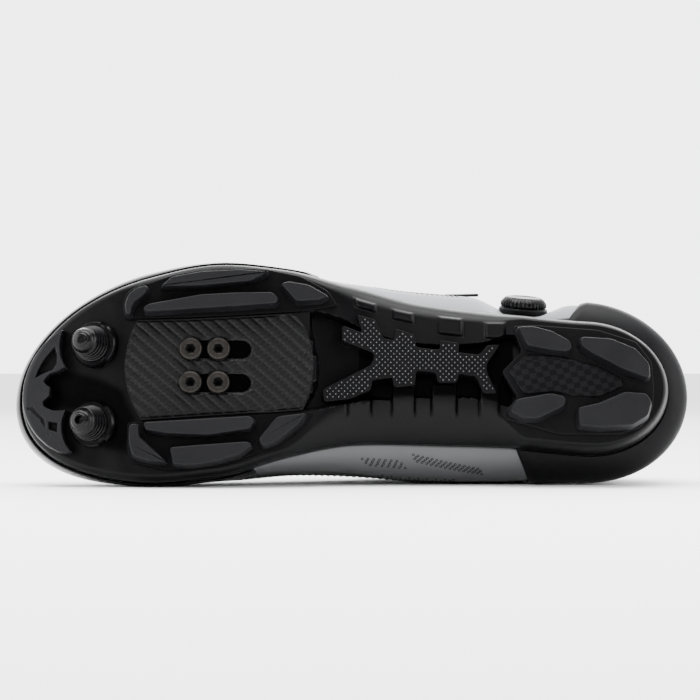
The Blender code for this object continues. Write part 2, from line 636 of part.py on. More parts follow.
def make_cleat_plate():
    """Round plate between the forefoot treads, with two slots for the cleat's bolts."""
    angles = np.linspace(0, 2 * math.pi, 64, endpoint=False)
    x = LENGTH * PLATE_ALONG + PLATE_RADIUS * np.cos(angles)
    y = TREAD_WIDTH * PLATE_ACROSS + PLATE_RADIUS * np.sin(angles)
    outer = np.array(sorted(LATERAL_PAD[-4:] + LATERAL_PAD[:1]))
    inner = np.array(sorted(MEDIAL_PAD[:6]))
    clear = 2 * SEAT
    top = np.interp(x, outer[:, 0] * LENGTH, outer[:, 1] * TREAD_WIDTH) - clear
    bottom = np.interp(x, inner[:, 0] * LENGTH, inner[:, 1] * TREAD_WIDTH) + clear
    outline = np.column_stack((x, np.clip(y, bottom, top)))
    plate = prism("cleat_plate", outline, PLATE_FACE, BALL_BASE - SEAT, CARBON)
    for index, at in enumerate(slot_centres()):
        form = prism("slot_form_%d" % index, capsule(SLOT_LENGTH, SLOT_WIDTH, at),
                     PLATE_FACE - SLOT_WIDTH, BALL_BASE + SLOT_WIDTH, CARBON)
        combine(plate, form, "DIFFERENCE")
    return plate


def make_bolts():
    """Two button-head bolts in each slot, their heads on the plate."""
    top = PLATE_FACE - SEAT
    low = top - BOLT_HEAD_HEIGHT
    head = ((0.0, 0.0), (0.55, 0.0), (0.80, 0.14), (0.95, 0.40), (1.0, 0.70), (1.0, 1.0))
    profile = [(BOLT_HEAD_RADIUS * r, low + BOLT_HEAD_HEIGHT * h) for r, h in head]
    profile += [(BOLT_SHANK_RADIUS, top), (BOLT_SHANK_RADIUS, BALL_BASE - SEAT),
                (0.0, BALL_BASE - SEAT)]
    turn = (np.arange(6) + 0.23) * math.pi / 3
    hexagon = np.column_stack((np.cos(turn), np.sin(turn))) * BOLT_SOCKET / 2
    number = 0
    for x, y in slot_centres():
        for step in (-0.5, 0.5):
            number += 1
            place = (x + BOLT_SHIFT + step * BOLT_PITCH, y, 0.0)
            bolt = lathe("cleat_bolt_%d" % number, profile, BOLT_SIDES, STEEL)
            socket = prism("socket_form_%d" % number, hexagon, low - BOLT_SOCKET,
                           low + 0.75 * BOLT_HEAD_HEIGHT, STEEL)
            bolt.location = place
            socket.location = place
            combine(bolt, socket, "DIFFERENCE")


def make_studs():
    """Toe studs screwed in square to the toe's slope: a collar and a cone of rings."""
    cone = STUD_HEIGHT - STUD_COLLAR
    profile = [(0.0, -SEAT), (0.93 * STUD_RADIUS, -SEAT), (STUD_RADIUS, -0.35 * STUD_COLLAR),
               (0.92 * STUD_RADIUS, -STUD_COLLAR)]
    for ring in range(STUD_RINGS):
        wide = 0.66 - 0.36 * ring / STUD_RINGS
        for narrow, share in ((0.0, 0.15), (0.01, 0.60), (0.09, 0.85)):
            height = -STUD_COLLAR - cone * (ring + share) / (STUD_RINGS + 1)
            profile.append(((wide - narrow) * STUD_RADIUS, height))
    profile += [(0.25 * STUD_RADIUS, -STUD_HEIGHT + 0.10 * cone),
                (0.16 * STUD_RADIUS, -STUD_HEIGHT), (0.0, -STUD_HEIGHT)]
    for side, along, across in TOE_STUDS:
        stud = lathe("toe_stud_" + side, profile, STUD_SIDES, RUBBER)
        foot = float(base_height(np.array(along)))
        stud.location = (LENGTH * along, TREAD_WIDTH * across, foot)
        stud.rotation_euler = (0.0, -math.atan(TOE_SLOPE), 0.0)


def make_web():
    """Branched web across the hollow of the arch, clear of the arch wall."""
    points = plan_points(ARCH_WEB, ARCH_WIDTH)
    along = points[:, 0] / LENGTH
    inner = centre(along) - sole_half(along, False) * (flow(FLAT, 2, along) - 0.02)
    outer = centre(along) + sole_half(along, True) * (flow(FLAT, 1, along) - 0.02)
    points[:, 1] = np.clip(points[:, 1], inner, outer)
    return prism("arch_web", points, WEB_FACE, WAIST_BASE - SEAT, NYLON)


def make_heel_panel():
    """Thin carbon-look panel on the heel's pad, between the lugs."""
    points = plan_points(HEEL_INLAY, HEEL_TREAD_WIDTH)
    top = HEEL_PAD_FACE - SEAT
    return prism("heel_panel", points, top - HEEL_PANEL_THICKNESS, top, CARBON)


# The upper and what is laid on or in it

UPPER_RISES = np.array([0.0, 0.12, 0.24, 0.36, 0.46, 0.57, 0.69, 0.82, 0.92, 1.0])
UPPER_COUNT = 84
UPPER_TURNS = np.linspace(-1.0, 1.0, UPPER_COUNT, endpoint=False)


def make_upper():
    """Hollow upper: the outer face up to the opening, the inner face back down to the sole."""
    outer = [upper_skin(UPPER_TURNS, rise, 0.0) for rise in UPPER_RISES]
    inner = [upper_skin(UPPER_TURNS, rise, -WALL) for rise in UPPER_RISES[::-1]]
    seat = inner[-1]
    shift = seat - outer[0]
    flat = shift[:, :2] / np.linalg.norm(shift[:, :2], axis=1, keepdims=True) * WALL
    seat[:, :2] = outer[0][:, :2] + flat
    seat[:, 2] = outer[0][:, 2]
    return loft("upper", outer + inner, MICROFIBRE, joined=True)


def upper_facet(turn, rise, offset):
    """Point over the upper's own facets, between the two rise lines around it."""
    line = np.clip(np.searchsorted(UPPER_RISES, rise, side="right") - 1, 0, len(UPPER_RISES) - 2)
    low, high = UPPER_RISES[line], UPPER_RISES[line + 1]
    share = ((rise - low) / (high - low))[:, None]
    return upper_skin(turn, low, offset) * (1 - share) + upper_skin(turn, high, offset) * share


def overlay(name, turns, top_of, highest, finish):
    """Layer on the outside of the upper from the sole up to top_of(turn)."""
    lines = UPPER_RISES[:np.searchsorted(UPPER_RISES, highest) + 1]
    sections = []
    for turn in turns:
        rises = np.minimum(lines, top_of(turn))
        near = upper_facet(turn, rises, SEAT)
        far = upper_facet(turn, rises[::-1], SEAT + OVERLAY)
        sections.append(np.vstack((near, far)))
    return loft(name, sections, finish, capped=True)


COUNTER_BACK_TOP = 0.72   # rise of the counter at the heel
COUNTER_END_LATERAL = 0.27
COUNTER_END_MEDIAL = 0.33
RAND_TOP_TOE = 0.50
RAND_END_LATERAL = 0.52
RAND_END_MEDIAL = 0.58


def counter_top(turn):
    """Upper edge of the counter: high at the back, falling to its two ends."""
    end = COUNTER_END_LATERAL if turn > 0 else COUNTER_END_MEDIAL
    return COUNTER_BACK_TOP - 0.30 * (abs(turn) / end) ** 2


def rand_top(turn):
    """Upper edge of the rand: a low band, higher over the toe."""
    end = RAND_END_LATERAL if turn > 0 else RAND_END_MEDIAL
    share = (abs(turn) - end) / (1 - end)
    return 0.20 + (RAND_TOP_TOE - 0.20) * float(smooth(0.0, 0.9, share))


def make_overlays():
    """Heel counter and toe rand, both cut from the upper's own face."""
    heel = [t for t in UPPER_TURNS if -COUNTER_END_MEDIAL < t < COUNTER_END_LATERAL]
    overlay("heel_counter", heel, counter_top, COUNTER_BACK_TOP, FILM)
    lateral = [t for t in UPPER_TURNS if t > RAND_END_LATERAL]
    medial = [t + 2 for t in UPPER_TURNS if t < -RAND_END_MEDIAL]
    overlay("toe_rand", lateral + medial, lambda t: rand_top(t if t <= 1 else t - 2),
            RAND_TOP_TOE, FILM)


def make_insole():
    """Insole inside the upper's foot, lying on the sole."""
    turn = sole_turns()
    start_x, start_y = spine(turn)
    edge_x, edge_y, _ = rim(turn)
    edge = 1 - (WALL + INSOLE_CLEARANCE) / np.hypot(edge_x - start_x, edge_y - start_y)
    rings = []
    for level, shares in ((INSOLE_SEAT, (0.0, TOP_RING, edge)),
                          (INSOLE_SEAT + INSOLE_THICKNESS, (edge, TOP_RING, 0.0))):
        for share in shares:
            rings.append(sole_top(turn, share) + np.array((0.0, 0.0, level)))
    return loft("insole", rings, FOAM)


TONGUE_FRONT = 0.91       # turns of the throat that the tongue runs under
TONGUE_TOP = 0.52
TONGUE_UNDERLAP = 0.86    # rise where the tongue's edge lies under the upper
TONGUE_TAPER = 0.93       # width of the tongue's inner face against its outer one
TONGUE_RISE = 0.016       # how far the tongue stands above the throat


def make_tongue():
    """Padded tongue that lies under the throat's edges and stands above its top."""
    turns = np.linspace(TONGUE_FRONT, TONGUE_TOP, 13)
    across = np.linspace(0.0, 1.0, 9)[:, None]
    rows = []
    for share, turn in zip(np.linspace(0.0, 1.0, 13), turns):
        lateral = upper_skin(turn, TONGUE_UNDERLAP, -WALL - TONGUE_GAP)
        medial = upper_skin(-turn, TONGUE_UNDERLAP, -WALL - TONGUE_GAP)
        row = lateral * (1 - across) + medial * across
        row[:, 2] += (TONGUE_CROWN * share ** 4 * 4 * across * (1 - across))[:, 0]
        row[:, 2] -= TONGUE_SAG * (1.25 - share)
        rows.append(row)
    middles = np.array([row.mean(axis=0) for row in rows])
    slopes = np.gradient(middles, axis=0)
    inward = np.column_stack((slopes[:, 2], np.zeros(len(turns)), -slopes[:, 0]))
    inward *= TONGUE_THICKNESS * np.sign(-inward[:, 2:]) / np.linalg.norm(inward, axis=1)[:, None]
    sections = []
    for row, middle, step in zip(rows, middles, inward):
        inner = middle + (row - middle) * np.array((1.0, TONGUE_TAPER, 1.0)) + step
        sections.append(np.vstack((row, inner[::-1])))
    last = sections[-1]
    middle = last.mean(axis=0)
    for share, narrow in ((0.35, 0.92), (0.75, 0.82), (1.0, 0.68)):
        row = middle + (last - middle) * narrow
        sections.append(row + np.array((-0.80, 0.0, 0.60)) * TONGUE_RISE * share)
    return loft("tongue", sections, MESH_CLOTH, capped=True)


def upper_frame(turn, rise):
    """Point and directions on the upper: along the turn, up the rib, and outward."""
    at = upper_skin(turn, rise, 0.0)
    out = upper_skin(turn, rise, 0.001) - at
    out /= np.linalg.norm(out)
    here, below = (upper_surface(np.array(turn), np.array(r)) for r in (rise, rise - 0.01))
    up = here - below
    up -= out * (up @ out)
    up /= np.linalg.norm(up)
    return at, np.cross(up, out), up, out


def stand_on_upper(piece, turn, rise, height):
    """Places a piece drawn about Z on the upper, its Z outward."""
    at, ahead, up, out = upper_frame(turn, rise)
    frame = Matrix((ahead, up, out)).transposed().to_4x4()
    frame.translation = Vector(at + out * height)
    piece.matrix_world = frame


def height_under_dial():
    """How far the upper's facets rise over the dial's own plane, within the dial's radius."""
    at, ahead, up, out = upper_frame(DIAL_TURN, DIAL_RISE)
    columns = UPPER_TURNS[np.argsort(np.abs(UPPER_TURNS - DIAL_TURN))[:6]]
    columns.sort()
    rises = np.linspace(0.05, 0.60, 45)
    ribs = np.array([upper_facet(turn, rises, 0.0) for turn in columns])
    share = np.linspace(0.0, 1.0, 9)[:, None, None]
    face = np.concatenate([a * (1 - share) + b * share for a, b in zip(ribs[:-1], ribs[1:])])
    face = face.reshape(-1, 3) - at
    near = np.hypot(face @ ahead, face @ up) < 1.05 * DIAL_RADIUS
    return max(0.0, float((face[near] @ out).max()))


def make_dial():
    """Lace dial on the lateral quarter: a round base and a knob with teeth."""
    profile = ((0.0, 0.0), (DIAL_RADIUS, 0.0), (DIAL_RADIUS, 0.6 * DIAL_BASE_HEIGHT),
               (0.93 * DIAL_RADIUS, DIAL_BASE_HEIGHT), (0.0, DIAL_BASE_HEIGHT))
    base = lathe("dial_base", profile, 24, FILM)
    seat = SEAT + height_under_dial()
    stand_on_upper(base, DIAL_TURN, DIAL_RISE, seat)
    angles = np.arange(DIAL_TEETH * 4) * math.pi / (DIAL_TEETH * 2)
    teeth = np.where(np.arange(DIAL_TEETH * 4) % 4 < 2, 1.0, 0.93) * DIAL_RADIUS * 0.95
    sections = []
    for share, height in ((0.0, 0.0), (1.0, 0.0), (1.0, 0.80), (0.86, 1.0), (0.0, 1.0)):
        ring = teeth * share
        level = np.full(len(angles), DIAL_KNOB_HEIGHT * height)
        sections.append(np.column_stack((ring * np.cos(angles), ring * np.sin(angles), level)))
    knob = loft("dial_knob", sections, NYLON)
    stand_on_upper(knob, DIAL_TURN, DIAL_RISE, seat + SEAT + DIAL_BASE_HEIGHT)


GUIDES = ((0.57, "lateral_upper"), (-0.57, "medial_upper"), (-0.70, "medial_lower"),
          (0.70, "lateral_lower"))
GUIDE_EDGE = 0.93         # rise of the guides, near the throat's edge
GUIDE_TAPER = 0.12        # how much narrower a guide gets per height


def make_guides():
    """Flat lace guides on the eyestay, each with a lip toward the throat."""
    half_l, half_w = GUIDE_LENGTH / 2, GUIDE_WIDTH / 2
    for turn, name in GUIDES:
        outline = ((-half_l, -half_w), (half_l, -half_w), (0.75 * half_l, half_w),
                   (-0.75 * half_l, half_w))
        guide = prism("lace_guide_" + name, outline, 0.0, GUIDE_HEIGHT, NYLON, -GUIDE_TAPER)
        stand_on_upper(guide, turn, GUIDE_EDGE, 2 * SEAT)


def make_lace():
    """Lace from the dial past the guides and across the tongue, one bent cord."""
    lift = GUIDE_HEIGHT + 2 * SEAT + LACE_CLEARANCE + LACE_DIAMETER / 2
    leave = np.array((DIAL_TURN + 0.050, DIAL_RISE + 0.10))
    first = np.array((GUIDES[0][0], GUIDE_EDGE))
    stops = [upper_skin(*(leave + (first - leave) * share),
                        lift - GUIDE_HEIGHT * (1 - smooth(0.0, 0.7, share)))
             for share in np.linspace(0, 0.9, 6)]
    for index, (turn, _) in enumerate(GUIDES):
        stops.append(upper_skin(turn, GUIDE_EDGE, lift))
        if index % 2 == 0:
            here = upper_skin(turn, 1.0, lift)
            there = upper_skin(GUIDES[index + 1][0], 1.0, lift)
            top = (here + there) / 2
            top[2] += LACE_CROWN * np.linalg.norm(here - there)
            stops += [here, top, there]
        elif index + 1 < len(GUIDES):
            share = np.linspace(0, 1, 5)[1:-1]
            stops += [upper_skin(turn + (GUIDES[index + 1][0] - turn) * step, GUIDE_EDGE, lift)
                      for step in share]
    curve = bpy.data.curves.new("lace", "CURVE")
    curve.dimensions = "3D"
    curve.bevel_depth = LACE_DIAMETER / 2
    curve.bevel_resolution = 1
    curve.use_fill_caps = True
    line = curve.splines.new("POLY")
    line.points.add(len(stops) - 1)
    for point, stop in zip(line.points, stops):
        point.co = (*stop, 1.0)
    curve.materials.append(CORD)
    lace = bpy.data.objects.new("lace", curve)
    bpy.context.collection.objects.link(lace)


MEDIAL_ENOUGH = 0.9       # how far a hull face must look to the medial side, as a cosine


def volume_and_moment(points, triangles):
    """Volume of a closed mesh and its first moment, from the tetrahedra to the origin."""
    a, b, c = (points[triangles[:, i]] for i in range(3))
    part = np.einsum("ij,ij->i", a, np.cross(b, c)) / 6
    return part.sum(), (part[:, None] * (a + b + c) / 4).sum(axis=0)


def lay_down(pieces):
    """Lays the shoe on the largest face of its hull, on the medial side, under its weight."""
    bpy.context.view_layer.update()
    cloud, total, moment = [], 0.0, np.zeros(3)
    for piece in pieces:
        if piece.type != "MESH":
            continue
        frame = np.array(piece.matrix_world)
        mesh = piece.data
        mesh.calc_loop_triangles()
        points = np.array([v.co for v in mesh.vertices]) @ frame[:3, :3].T + frame[:3, 3]
        triangles = np.array([t.vertices for t in mesh.loop_triangles])
        cloud.append(points)
        if not piece.hide_render:
            volume, first = volume_and_moment(points, triangles)
            total, moment = total + volume, moment + first
    balance = Vector(moment / total)
    hull = bmesh.new()
    for point in np.vstack(cloud):
        hull.verts.new(point)
    bmesh.ops.convex_hull(hull, input=hull.verts)
    medial = Vector((0.0, -1.0, 0.0))
    largest, down = 0.0, medial
    for face in hull.faces:
        corners = [v.co for v in face.verts]
        if len(corners) != 3:
            continue
        cross = (corners[1] - corners[0]).cross(corners[2] - corners[0])
        normal = cross.normalized()
        if normal.dot(corners[0] - balance) < 0:
            normal.negate()
        foot = balance + normal * normal.dot(corners[0] - balance)
        inside = all((corners[i] - foot).cross(corners[(i + 1) % 3] - foot).dot(
            (corners[0] - foot).cross(corners[1] - foot)) >= 0 for i in range(3))
        if inside and normal.dot(medial) > MEDIAL_ENOUGH and cross.length > largest:
            largest, down = cross.length, normal
    hull.free()
    on_side = Matrix(((-1, 0, 0, 0), (0, 0, 1, 0), (0, 1, 0, 0), (0, 0, 0, 1)))
    level = (on_side.to_3x3() @ down).rotation_difference(Vector((0, 0, -1))).to_matrix().to_4x4()
    turned = np.vstack(cloud) @ np.array((level @ on_side).to_3x3()).T
    low, high = turned.min(axis=0), turned.max(axis=0)
    shift = Matrix.Translation((-(low[0] + high[0]) / 2, -(low[1] + high[1]) / 2, -low[2]))
    rest = bpy.data.objects.new("shoe_at_rest", None)
    bpy.context.collection.objects.link(rest)
    for piece in pieces:
        piece.parent = rest
    rest.matrix_world = shift @ level @ on_side
    return rest


make_sole()
make_upper()
make_insole()
make_tongue()
make_overlays()
make_tread("tread_lateral", LATERAL_PAD, LATERAL_LUGS, TREAD_WIDTH, BALL_PAD_FACE, BALL_BASE)
make_tread("tread_medial", MEDIAL_PAD, MEDIAL_LUGS, TREAD_WIDTH, BALL_PAD_FACE, BALL_BASE)
make_tread("tread_heel", HEEL_PAD, HEEL_LUGS, HEEL_TREAD_WIDTH, HEEL_PAD_FACE, HEEL_BASE)
make_toe_tread()
make_heel_panel()
make_web()
make_cleat_plate()
make_bolts()
make_studs()
make_dial()
make_guides()
make_lace()
lay_down(list(bpy.context.collection.objects))
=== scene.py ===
# %% [markdown]
# # A left off-road cycling shoe, seen from below
# The shoe lies on its inner side, so that the camera looks straight at the sole. The packed
# model gives the frame: where the shoe lies, how large it is and which solids it has. This
# lesson dresses each of those solids with a fine surface and a finish of its own.

# %% Load the frame
import json
import math

import bmesh
import bpy
import numpy as np
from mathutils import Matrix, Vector


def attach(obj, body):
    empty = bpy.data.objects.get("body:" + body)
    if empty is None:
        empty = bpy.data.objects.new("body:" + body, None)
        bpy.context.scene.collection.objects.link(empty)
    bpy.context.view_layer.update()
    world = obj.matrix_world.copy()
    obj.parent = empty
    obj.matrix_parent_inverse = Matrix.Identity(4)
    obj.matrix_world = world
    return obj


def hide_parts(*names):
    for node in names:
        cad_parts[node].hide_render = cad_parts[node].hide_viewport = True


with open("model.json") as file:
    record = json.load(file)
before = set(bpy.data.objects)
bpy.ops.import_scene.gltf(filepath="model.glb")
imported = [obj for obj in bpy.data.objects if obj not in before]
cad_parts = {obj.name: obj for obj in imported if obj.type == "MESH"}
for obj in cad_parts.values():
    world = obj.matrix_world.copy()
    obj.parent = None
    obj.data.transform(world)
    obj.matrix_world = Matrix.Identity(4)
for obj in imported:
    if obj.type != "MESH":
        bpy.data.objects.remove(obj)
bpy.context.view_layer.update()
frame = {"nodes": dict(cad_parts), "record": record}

NODES = frame["nodes"]
print("packed nodes:", len(NODES))

# %% [markdown]
# ## Sizes
# A shoe maker works from the last: its length, the width over the ball, waist and heel, and
# the heights of the heel and the toe. The same driving sizes made the solids, so a surface
# that is worked out from them lands on its solid without any fitting. All are in metres.

# %% Sizes of the last, the upper and the sole
# Rises are heights over the ground; names that end in ALONG, BACK, FRONT, START or ROUND are
# shares of the length.
LENGTH = 0.280
BALL_WIDTH = 0.0925
WAIST_WIDTH = 0.080
HEEL_WIDTH = 0.0765
COLLAR_WIDTH = 0.062
THROAT_WIDTH = 0.036
COLLAR_HEIGHT = 0.099
INSTEP_HEIGHT = 0.104
VAMP_HEIGHT = 0.066
WALL = 0.0018
SOLE_BALL_WIDTH = 0.0885
SOLE_WAIST_WIDTH = 0.0595
SOLE_HEEL_WIDTH = 0.0555
HEEL_RISE = 0.026
WAIST_RISE = 0.028
BALL_RISE = 0.0155
TOE_RISE = 0.031
RIM_BAND = 0.003
HEEL_BASE = 0.010
BALL_BASE = 0.009
ARCH_BASE = 0.0135
HOLLOW_FLOOR = 0.0195
TOE_SLOPE = 0.33
TOE_BEND_START = 0.80
TOE_BEND_END = 0.85
SOLE_BACK = 0.028
SOLE_FRONT = 0.992
HEEL_ROUND = 0.15
TOE_ROUND = 0.72
SPINE_BACK = 0.13
SPINE_FRONT = 0.85
SEAT = 0.0003
print("last:", LENGTH, "long,", BALL_WIDTH, "over the ball,", COLLAR_HEIGHT, "high")

# %% Sizes of the tread, the plate, the studs and the closure
TREAD_WIDTH = 0.086
HEEL_TREAD_WIDTH = 0.052
ARCH_WIDTH = 0.056
BALL_PAD_FACE = 0.0070
HEEL_PAD_FACE = 0.0085
TOE_TREAD_HEIGHT = 0.0055
PLATE_FACE = 0.0064
PLATE_RADIUS = 0.039
PLATE_ALONG = 0.695
PLATE_ACROSS = 0.040
SLOT_WIDTH = 0.0074
SLOT_LENGTH = 0.028
SLOT_PITCH = 0.014
SLOT_SHIFT = 0.001
BOLT_HEAD_RADIUS = 0.0049
BOLT_HEAD_HEIGHT = 0.0026
BOLT_SOCKET = 0.0046
BOLT_PITCH = 0.0115
BOLT_SHIFT = 0.0050
STUD_RADIUS = 0.0100
STUD_COLLAR = 0.0030
STUD_HEIGHT = 0.0165
WEB_FACE = 0.010
OVERLAY = 0.0013
TONGUE_THICKNESS = 0.0040
TONGUE_CROWN = 0.0060
TONGUE_SAG = 0.0066
LACE_CROWN = 0.10
TONGUE_GAP = 0.0006
DIAL_TURN = 0.326
DIAL_RISE = 0.30
DIAL_RADIUS = 0.0103
DIAL_BASE_HEIGHT = 0.0015
DIAL_KNOB_HEIGHT = 0.0042
DIAL_HOLLOW = 0.0050
DIAL_HOLLOW_TURN = 0.041
DIAL_HOLLOW_RISE = 0.26
GUIDE_LENGTH = 0.008
GUIDE_WIDTH = 0.007
GUIDE_HEIGHT = 0.0030
LACE_DIAMETER = 0.0014
LACE_CLEARANCE = 0.0009
print("tread:", TREAD_WIDTH, "wide, plate face at", PLATE_FACE, "over the ground")

# %% [markdown]
# ## Where the shoe lies
# The shoe is drawn upright, X to the toe, Y to the outer side and Z up from the tread. The
# record's mounts give two points of the sole and the direction that the tread faces. Those
# are enough to find the shoe's own axes in the room: up is opposite to the tread, ahead is
# the turned line between the two points, and outer is at right angles to both.

# %% The shoe's axes in the room
HEEL_MARK = (0.215, 0.28)    # shares of the length and of the heel tread's width
CLEAT_MARK_BACK = 0.020      # from the plate's middle toward the heel


def unit(vectors):
    """Each vector divided by its own length."""
    return vectors / np.linalg.norm(vectors, axis=-1, keepdims=True)


mounts = {mount["name"]: mount for mount in frame["record"]["mounts"]}
cleat_place = np.array(mounts["cleat_face"]["pos_m"])
heel_place = np.array(mounts["heel_tread"]["pos_m"])
UP = unit(-np.array(mounts["cleat_face"]["axis"]))
heel_mark = np.array((HEEL_MARK[0] * LENGTH, HEEL_MARK[1] * HEEL_TREAD_WIDTH, 0.0))
cleat_mark = np.array((PLATE_ALONG * LENGTH - CLEAT_MARK_BACK, PLATE_ACROSS * TREAD_WIDTH,
                       PLATE_FACE))
span = cleat_place - heel_place
span -= UP * (span @ UP)
drawn = (cleat_mark - heel_mark)[:2]
AHEAD = unit(drawn[0] * span - drawn[1] * np.cross(UP, span))
OUTER = np.cross(UP, AHEAD)
AXES = np.array((AHEAD, OUTER, UP))
ORIGIN = cleat_place - cleat_mark @ AXES
print("ahead", AHEAD.round(3), "outer", OUTER.round(3), "up", UP.round(3))


def to_room(points):
    """Points in the shoe's own axes, moved to where the shoe lies: origin plus axes."""
    return np.asarray(points, float) @ AXES + ORIGIN


# %% [markdown]
# ## Camera, floor and light
# The photograph was taken level with the shoe, square to the sole, from far away. So the
# camera stands 1.25 m in front of the tread, a little higher than the shoe's centre line. Its
# focal length comes from the length of the shoe in the picture. A large soft light above, a
# weaker one in front and one at each end give the long, gentle highlights on the black parts,
# and one behind lights the paper. The world is bright behind the shoe and dim behind the
# camera, so that the black faces have nothing bright to mirror.

# %% Camera
CAMERA_DISTANCE = 1.25       # metres from the tread plane
FOCAL_PIXELS = 3045.0        # for an image 700 pixels wide
SENSOR_WIDTH = 36.0
IMAGE_WIDTH = 700
MIDDLE_ALONG = 0.502         # the point under the picture's middle column
MIDDLE_ROW = 380             # the picture's row of the centre line at the feather height
FEATHER_LEVEL = 0.022

middle = to_room((MIDDLE_ALONG * LENGTH, 0.0, 0.0))
feather = to_room((MIDDLE_ALONG * LENGTH, 0.0, FEATHER_LEVEL))
metres_per_pixel = (CAMERA_DISTANCE + FEATHER_LEVEL) / FOCAL_PIXELS
camera = bpy.data.objects.new("camera", bpy.data.cameras.new("camera"))
camera.data.sensor_width = SENSOR_WIDTH
camera.data.lens = FOCAL_PIXELS * SENSOR_WIDTH / IMAGE_WIDTH
camera.location = (middle[0], middle[1] - CAMERA_DISTANCE,
                   feather[2] + (MIDDLE_ROW - IMAGE_WIDTH / 2) * metres_per_pixel)
camera.rotation_euler = (math.pi / 2, 0.0, 0.0)
bpy.context.collection.objects.link(camera)
bpy.context.scene.camera = camera
print("lens", round(camera.data.lens, 1), "mm")


# %% Node helper and colours
def hex_colour(text):
    """sRGB hex to linear RGBA: each channel c becomes ((c + 0.055) / 1.055) to the power 2.4."""
    channels = [int(text[i:i + 2], 16) / 255 for i in (1, 3, 5)]
    linear = [c / 12.92 if c <= 0.04045 else ((c + 0.055) / 1.055) ** 2.4 for c in channels]
    return (*linear, 1.0)


def add(tree, kind, inputs=None, **settings):
    """Adds one node: its settings, then each input's value, hex colour or feeding socket."""
    node = tree.nodes.new(kind)
    for name, value in settings.items():
        setattr(node, name, value)
    for name, value in (inputs or {}).items():
        if isinstance(value, bpy.types.NodeSocket):
            tree.links.new(value, node.inputs[name])
        else:
            node.inputs[name].default_value = hex_colour(value) if isinstance(value, str) else value
    return node


def finish(name, colour, roughness, **sockets):
    """A material with one Principled shader; returns the material, its tree and the shader."""
    made = bpy.data.materials.new(name)
    made.use_nodes = True
    tree = made.node_tree
    shader = tree.nodes["Principled BSDF"]
    shader.inputs["Base Color"].default_value = hex_colour(colour)
    shader.inputs["Roughness"].default_value = roughness
    for socket, value in sockets.items():
        shader.inputs[socket.replace("_", " ")].default_value = value
    return made, tree, shader


def per_mm(size):
    """Scale of a pattern in Object coordinates, whose unit is the metre, for one mark per size."""
    return 1000.0 / size


def feed(tree, shader, sockets):
    """Links each source to the shader's socket of that name."""
    for name, source in sockets.items():
        tree.links.new(source, shader.inputs[name])


def object_place(tree, scale=(1.0, 1.0, 1.0), turn=0.0):
    """Object coordinates, stretched and turned about the camera's line by a Mapping node."""
    place = add(tree, "ShaderNodeTexCoord").outputs["Object"]
    return add(tree, "ShaderNodeMapping",
               {"Vector": place, "Scale": scale, "Rotation": (0.0, turn, 0.0)}).outputs["Vector"]


def noise(tree, place, size_mm, detail, roughness=0.5):
    """Cloudy pattern from 0 to 1 whose clouds are a size in mm."""
    return add(tree, "ShaderNodeTexNoise",
               {"Vector": place, "Scale": per_mm(size_mm), "Detail": detail,
                "Roughness": roughness}).outputs["Fac"]


def blend(tree, share, first, second):
    """First colour times one less the share, plus the second times the share."""
    return add(tree, "ShaderNodeMix", {"Factor": share, "A": first, "B": second},
               data_type="RGBA").outputs["Result"]


def ranged(tree, value, low, high, start=0.0, end=1.0):
    """Low where the value is at its start, high at its end, and straight between them."""
    return add(tree, "ShaderNodeMapRange",
               {"Value": value, "From Min": start, "From Max": end,
                "To Min": low, "To Max": high}).outputs["Result"]


def dented(tree, shader, height, strength, depth):
    """Tilts the shader's normal by the slope of a height from 0 to 1, times a depth in metres."""
    dents = add(tree, "ShaderNodeBump",
                {"Height": height, "Strength": strength, "Distance": depth})
    feed(tree, shader, {"Normal": dents.outputs["Normal"]})


# %% Floor and lights
def area_light(name, place, aim, size, power):
    """A soft light, its width and height in metres, that faces a point."""
    light = bpy.data.lights.new(name, "AREA")
    light.shape = "RECTANGLE"
    light.size, light.size_y = size
    light.energy = power
    lamp = bpy.data.objects.new(name, light)
    lamp.location = place
    lamp.rotation_euler = (Vector(aim) - Vector(place)).to_track_quat("-Z", "Y").to_euler()
    bpy.context.collection.objects.link(lamp)
    return lamp


FLOOR_HALF = 6.0
floor_mesh = bpy.data.meshes.new("floor")
floor_mesh.from_pydata([(-FLOOR_HALF, -FLOOR_HALF, 0), (FLOOR_HALF, -FLOOR_HALF, 0),
                        (FLOOR_HALF, FLOOR_HALF, 0), (-FLOOR_HALF, FLOOR_HALF, 0)],
                       [], [(0, 1, 2, 3)])
floor = bpy.data.objects.new("floor", floor_mesh)
bpy.context.collection.objects.link(floor)
# Matt white paper: takes soft shadows and no reflection, so that the shoe stands alone.
paper, paper_tree, paper_shader = finish("matt_white_paper", "#f7f7f7", 0.9)
grain = noise(paper_tree, object_place(paper_tree), 2.0, 3.0)
dents = add(paper_tree, "ShaderNodeBump", {"Height": grain, "Strength": 0.02})
feed(paper_tree, paper_shader, {"Normal": dents.outputs["Normal"]})
floor_mesh.materials.append(paper)

SKY_BACK = 4.6               # the white wall behind the shoe
SKY_FRONT = 0.45             # the dim room behind the camera, which keeps the blacks black
SOFT_LIGHTS = (
    # name, place, width and height, watts
    ("top_softbox", (0.0, -0.15, 0.95), (1.1, 0.7), 30.0),
    ("front_softbox", (-0.25, -1.5, 0.75), (1.2, 0.5), 7.0),
    ("toe_softbox", (-0.95, -0.35, 0.35), (0.5, 0.6), 8.0),
    ("heel_softbox", (0.95, -0.35, 0.35), (0.5, 0.6), 8.0),
    ("back_softbox", (0.1, 1.1, 0.8), (1.2, 0.5), 12.0),
)
for light_name, light_place, light_size, watts in SOFT_LIGHTS:
    area_light(light_name, light_place, tuple(middle), light_size, watts)

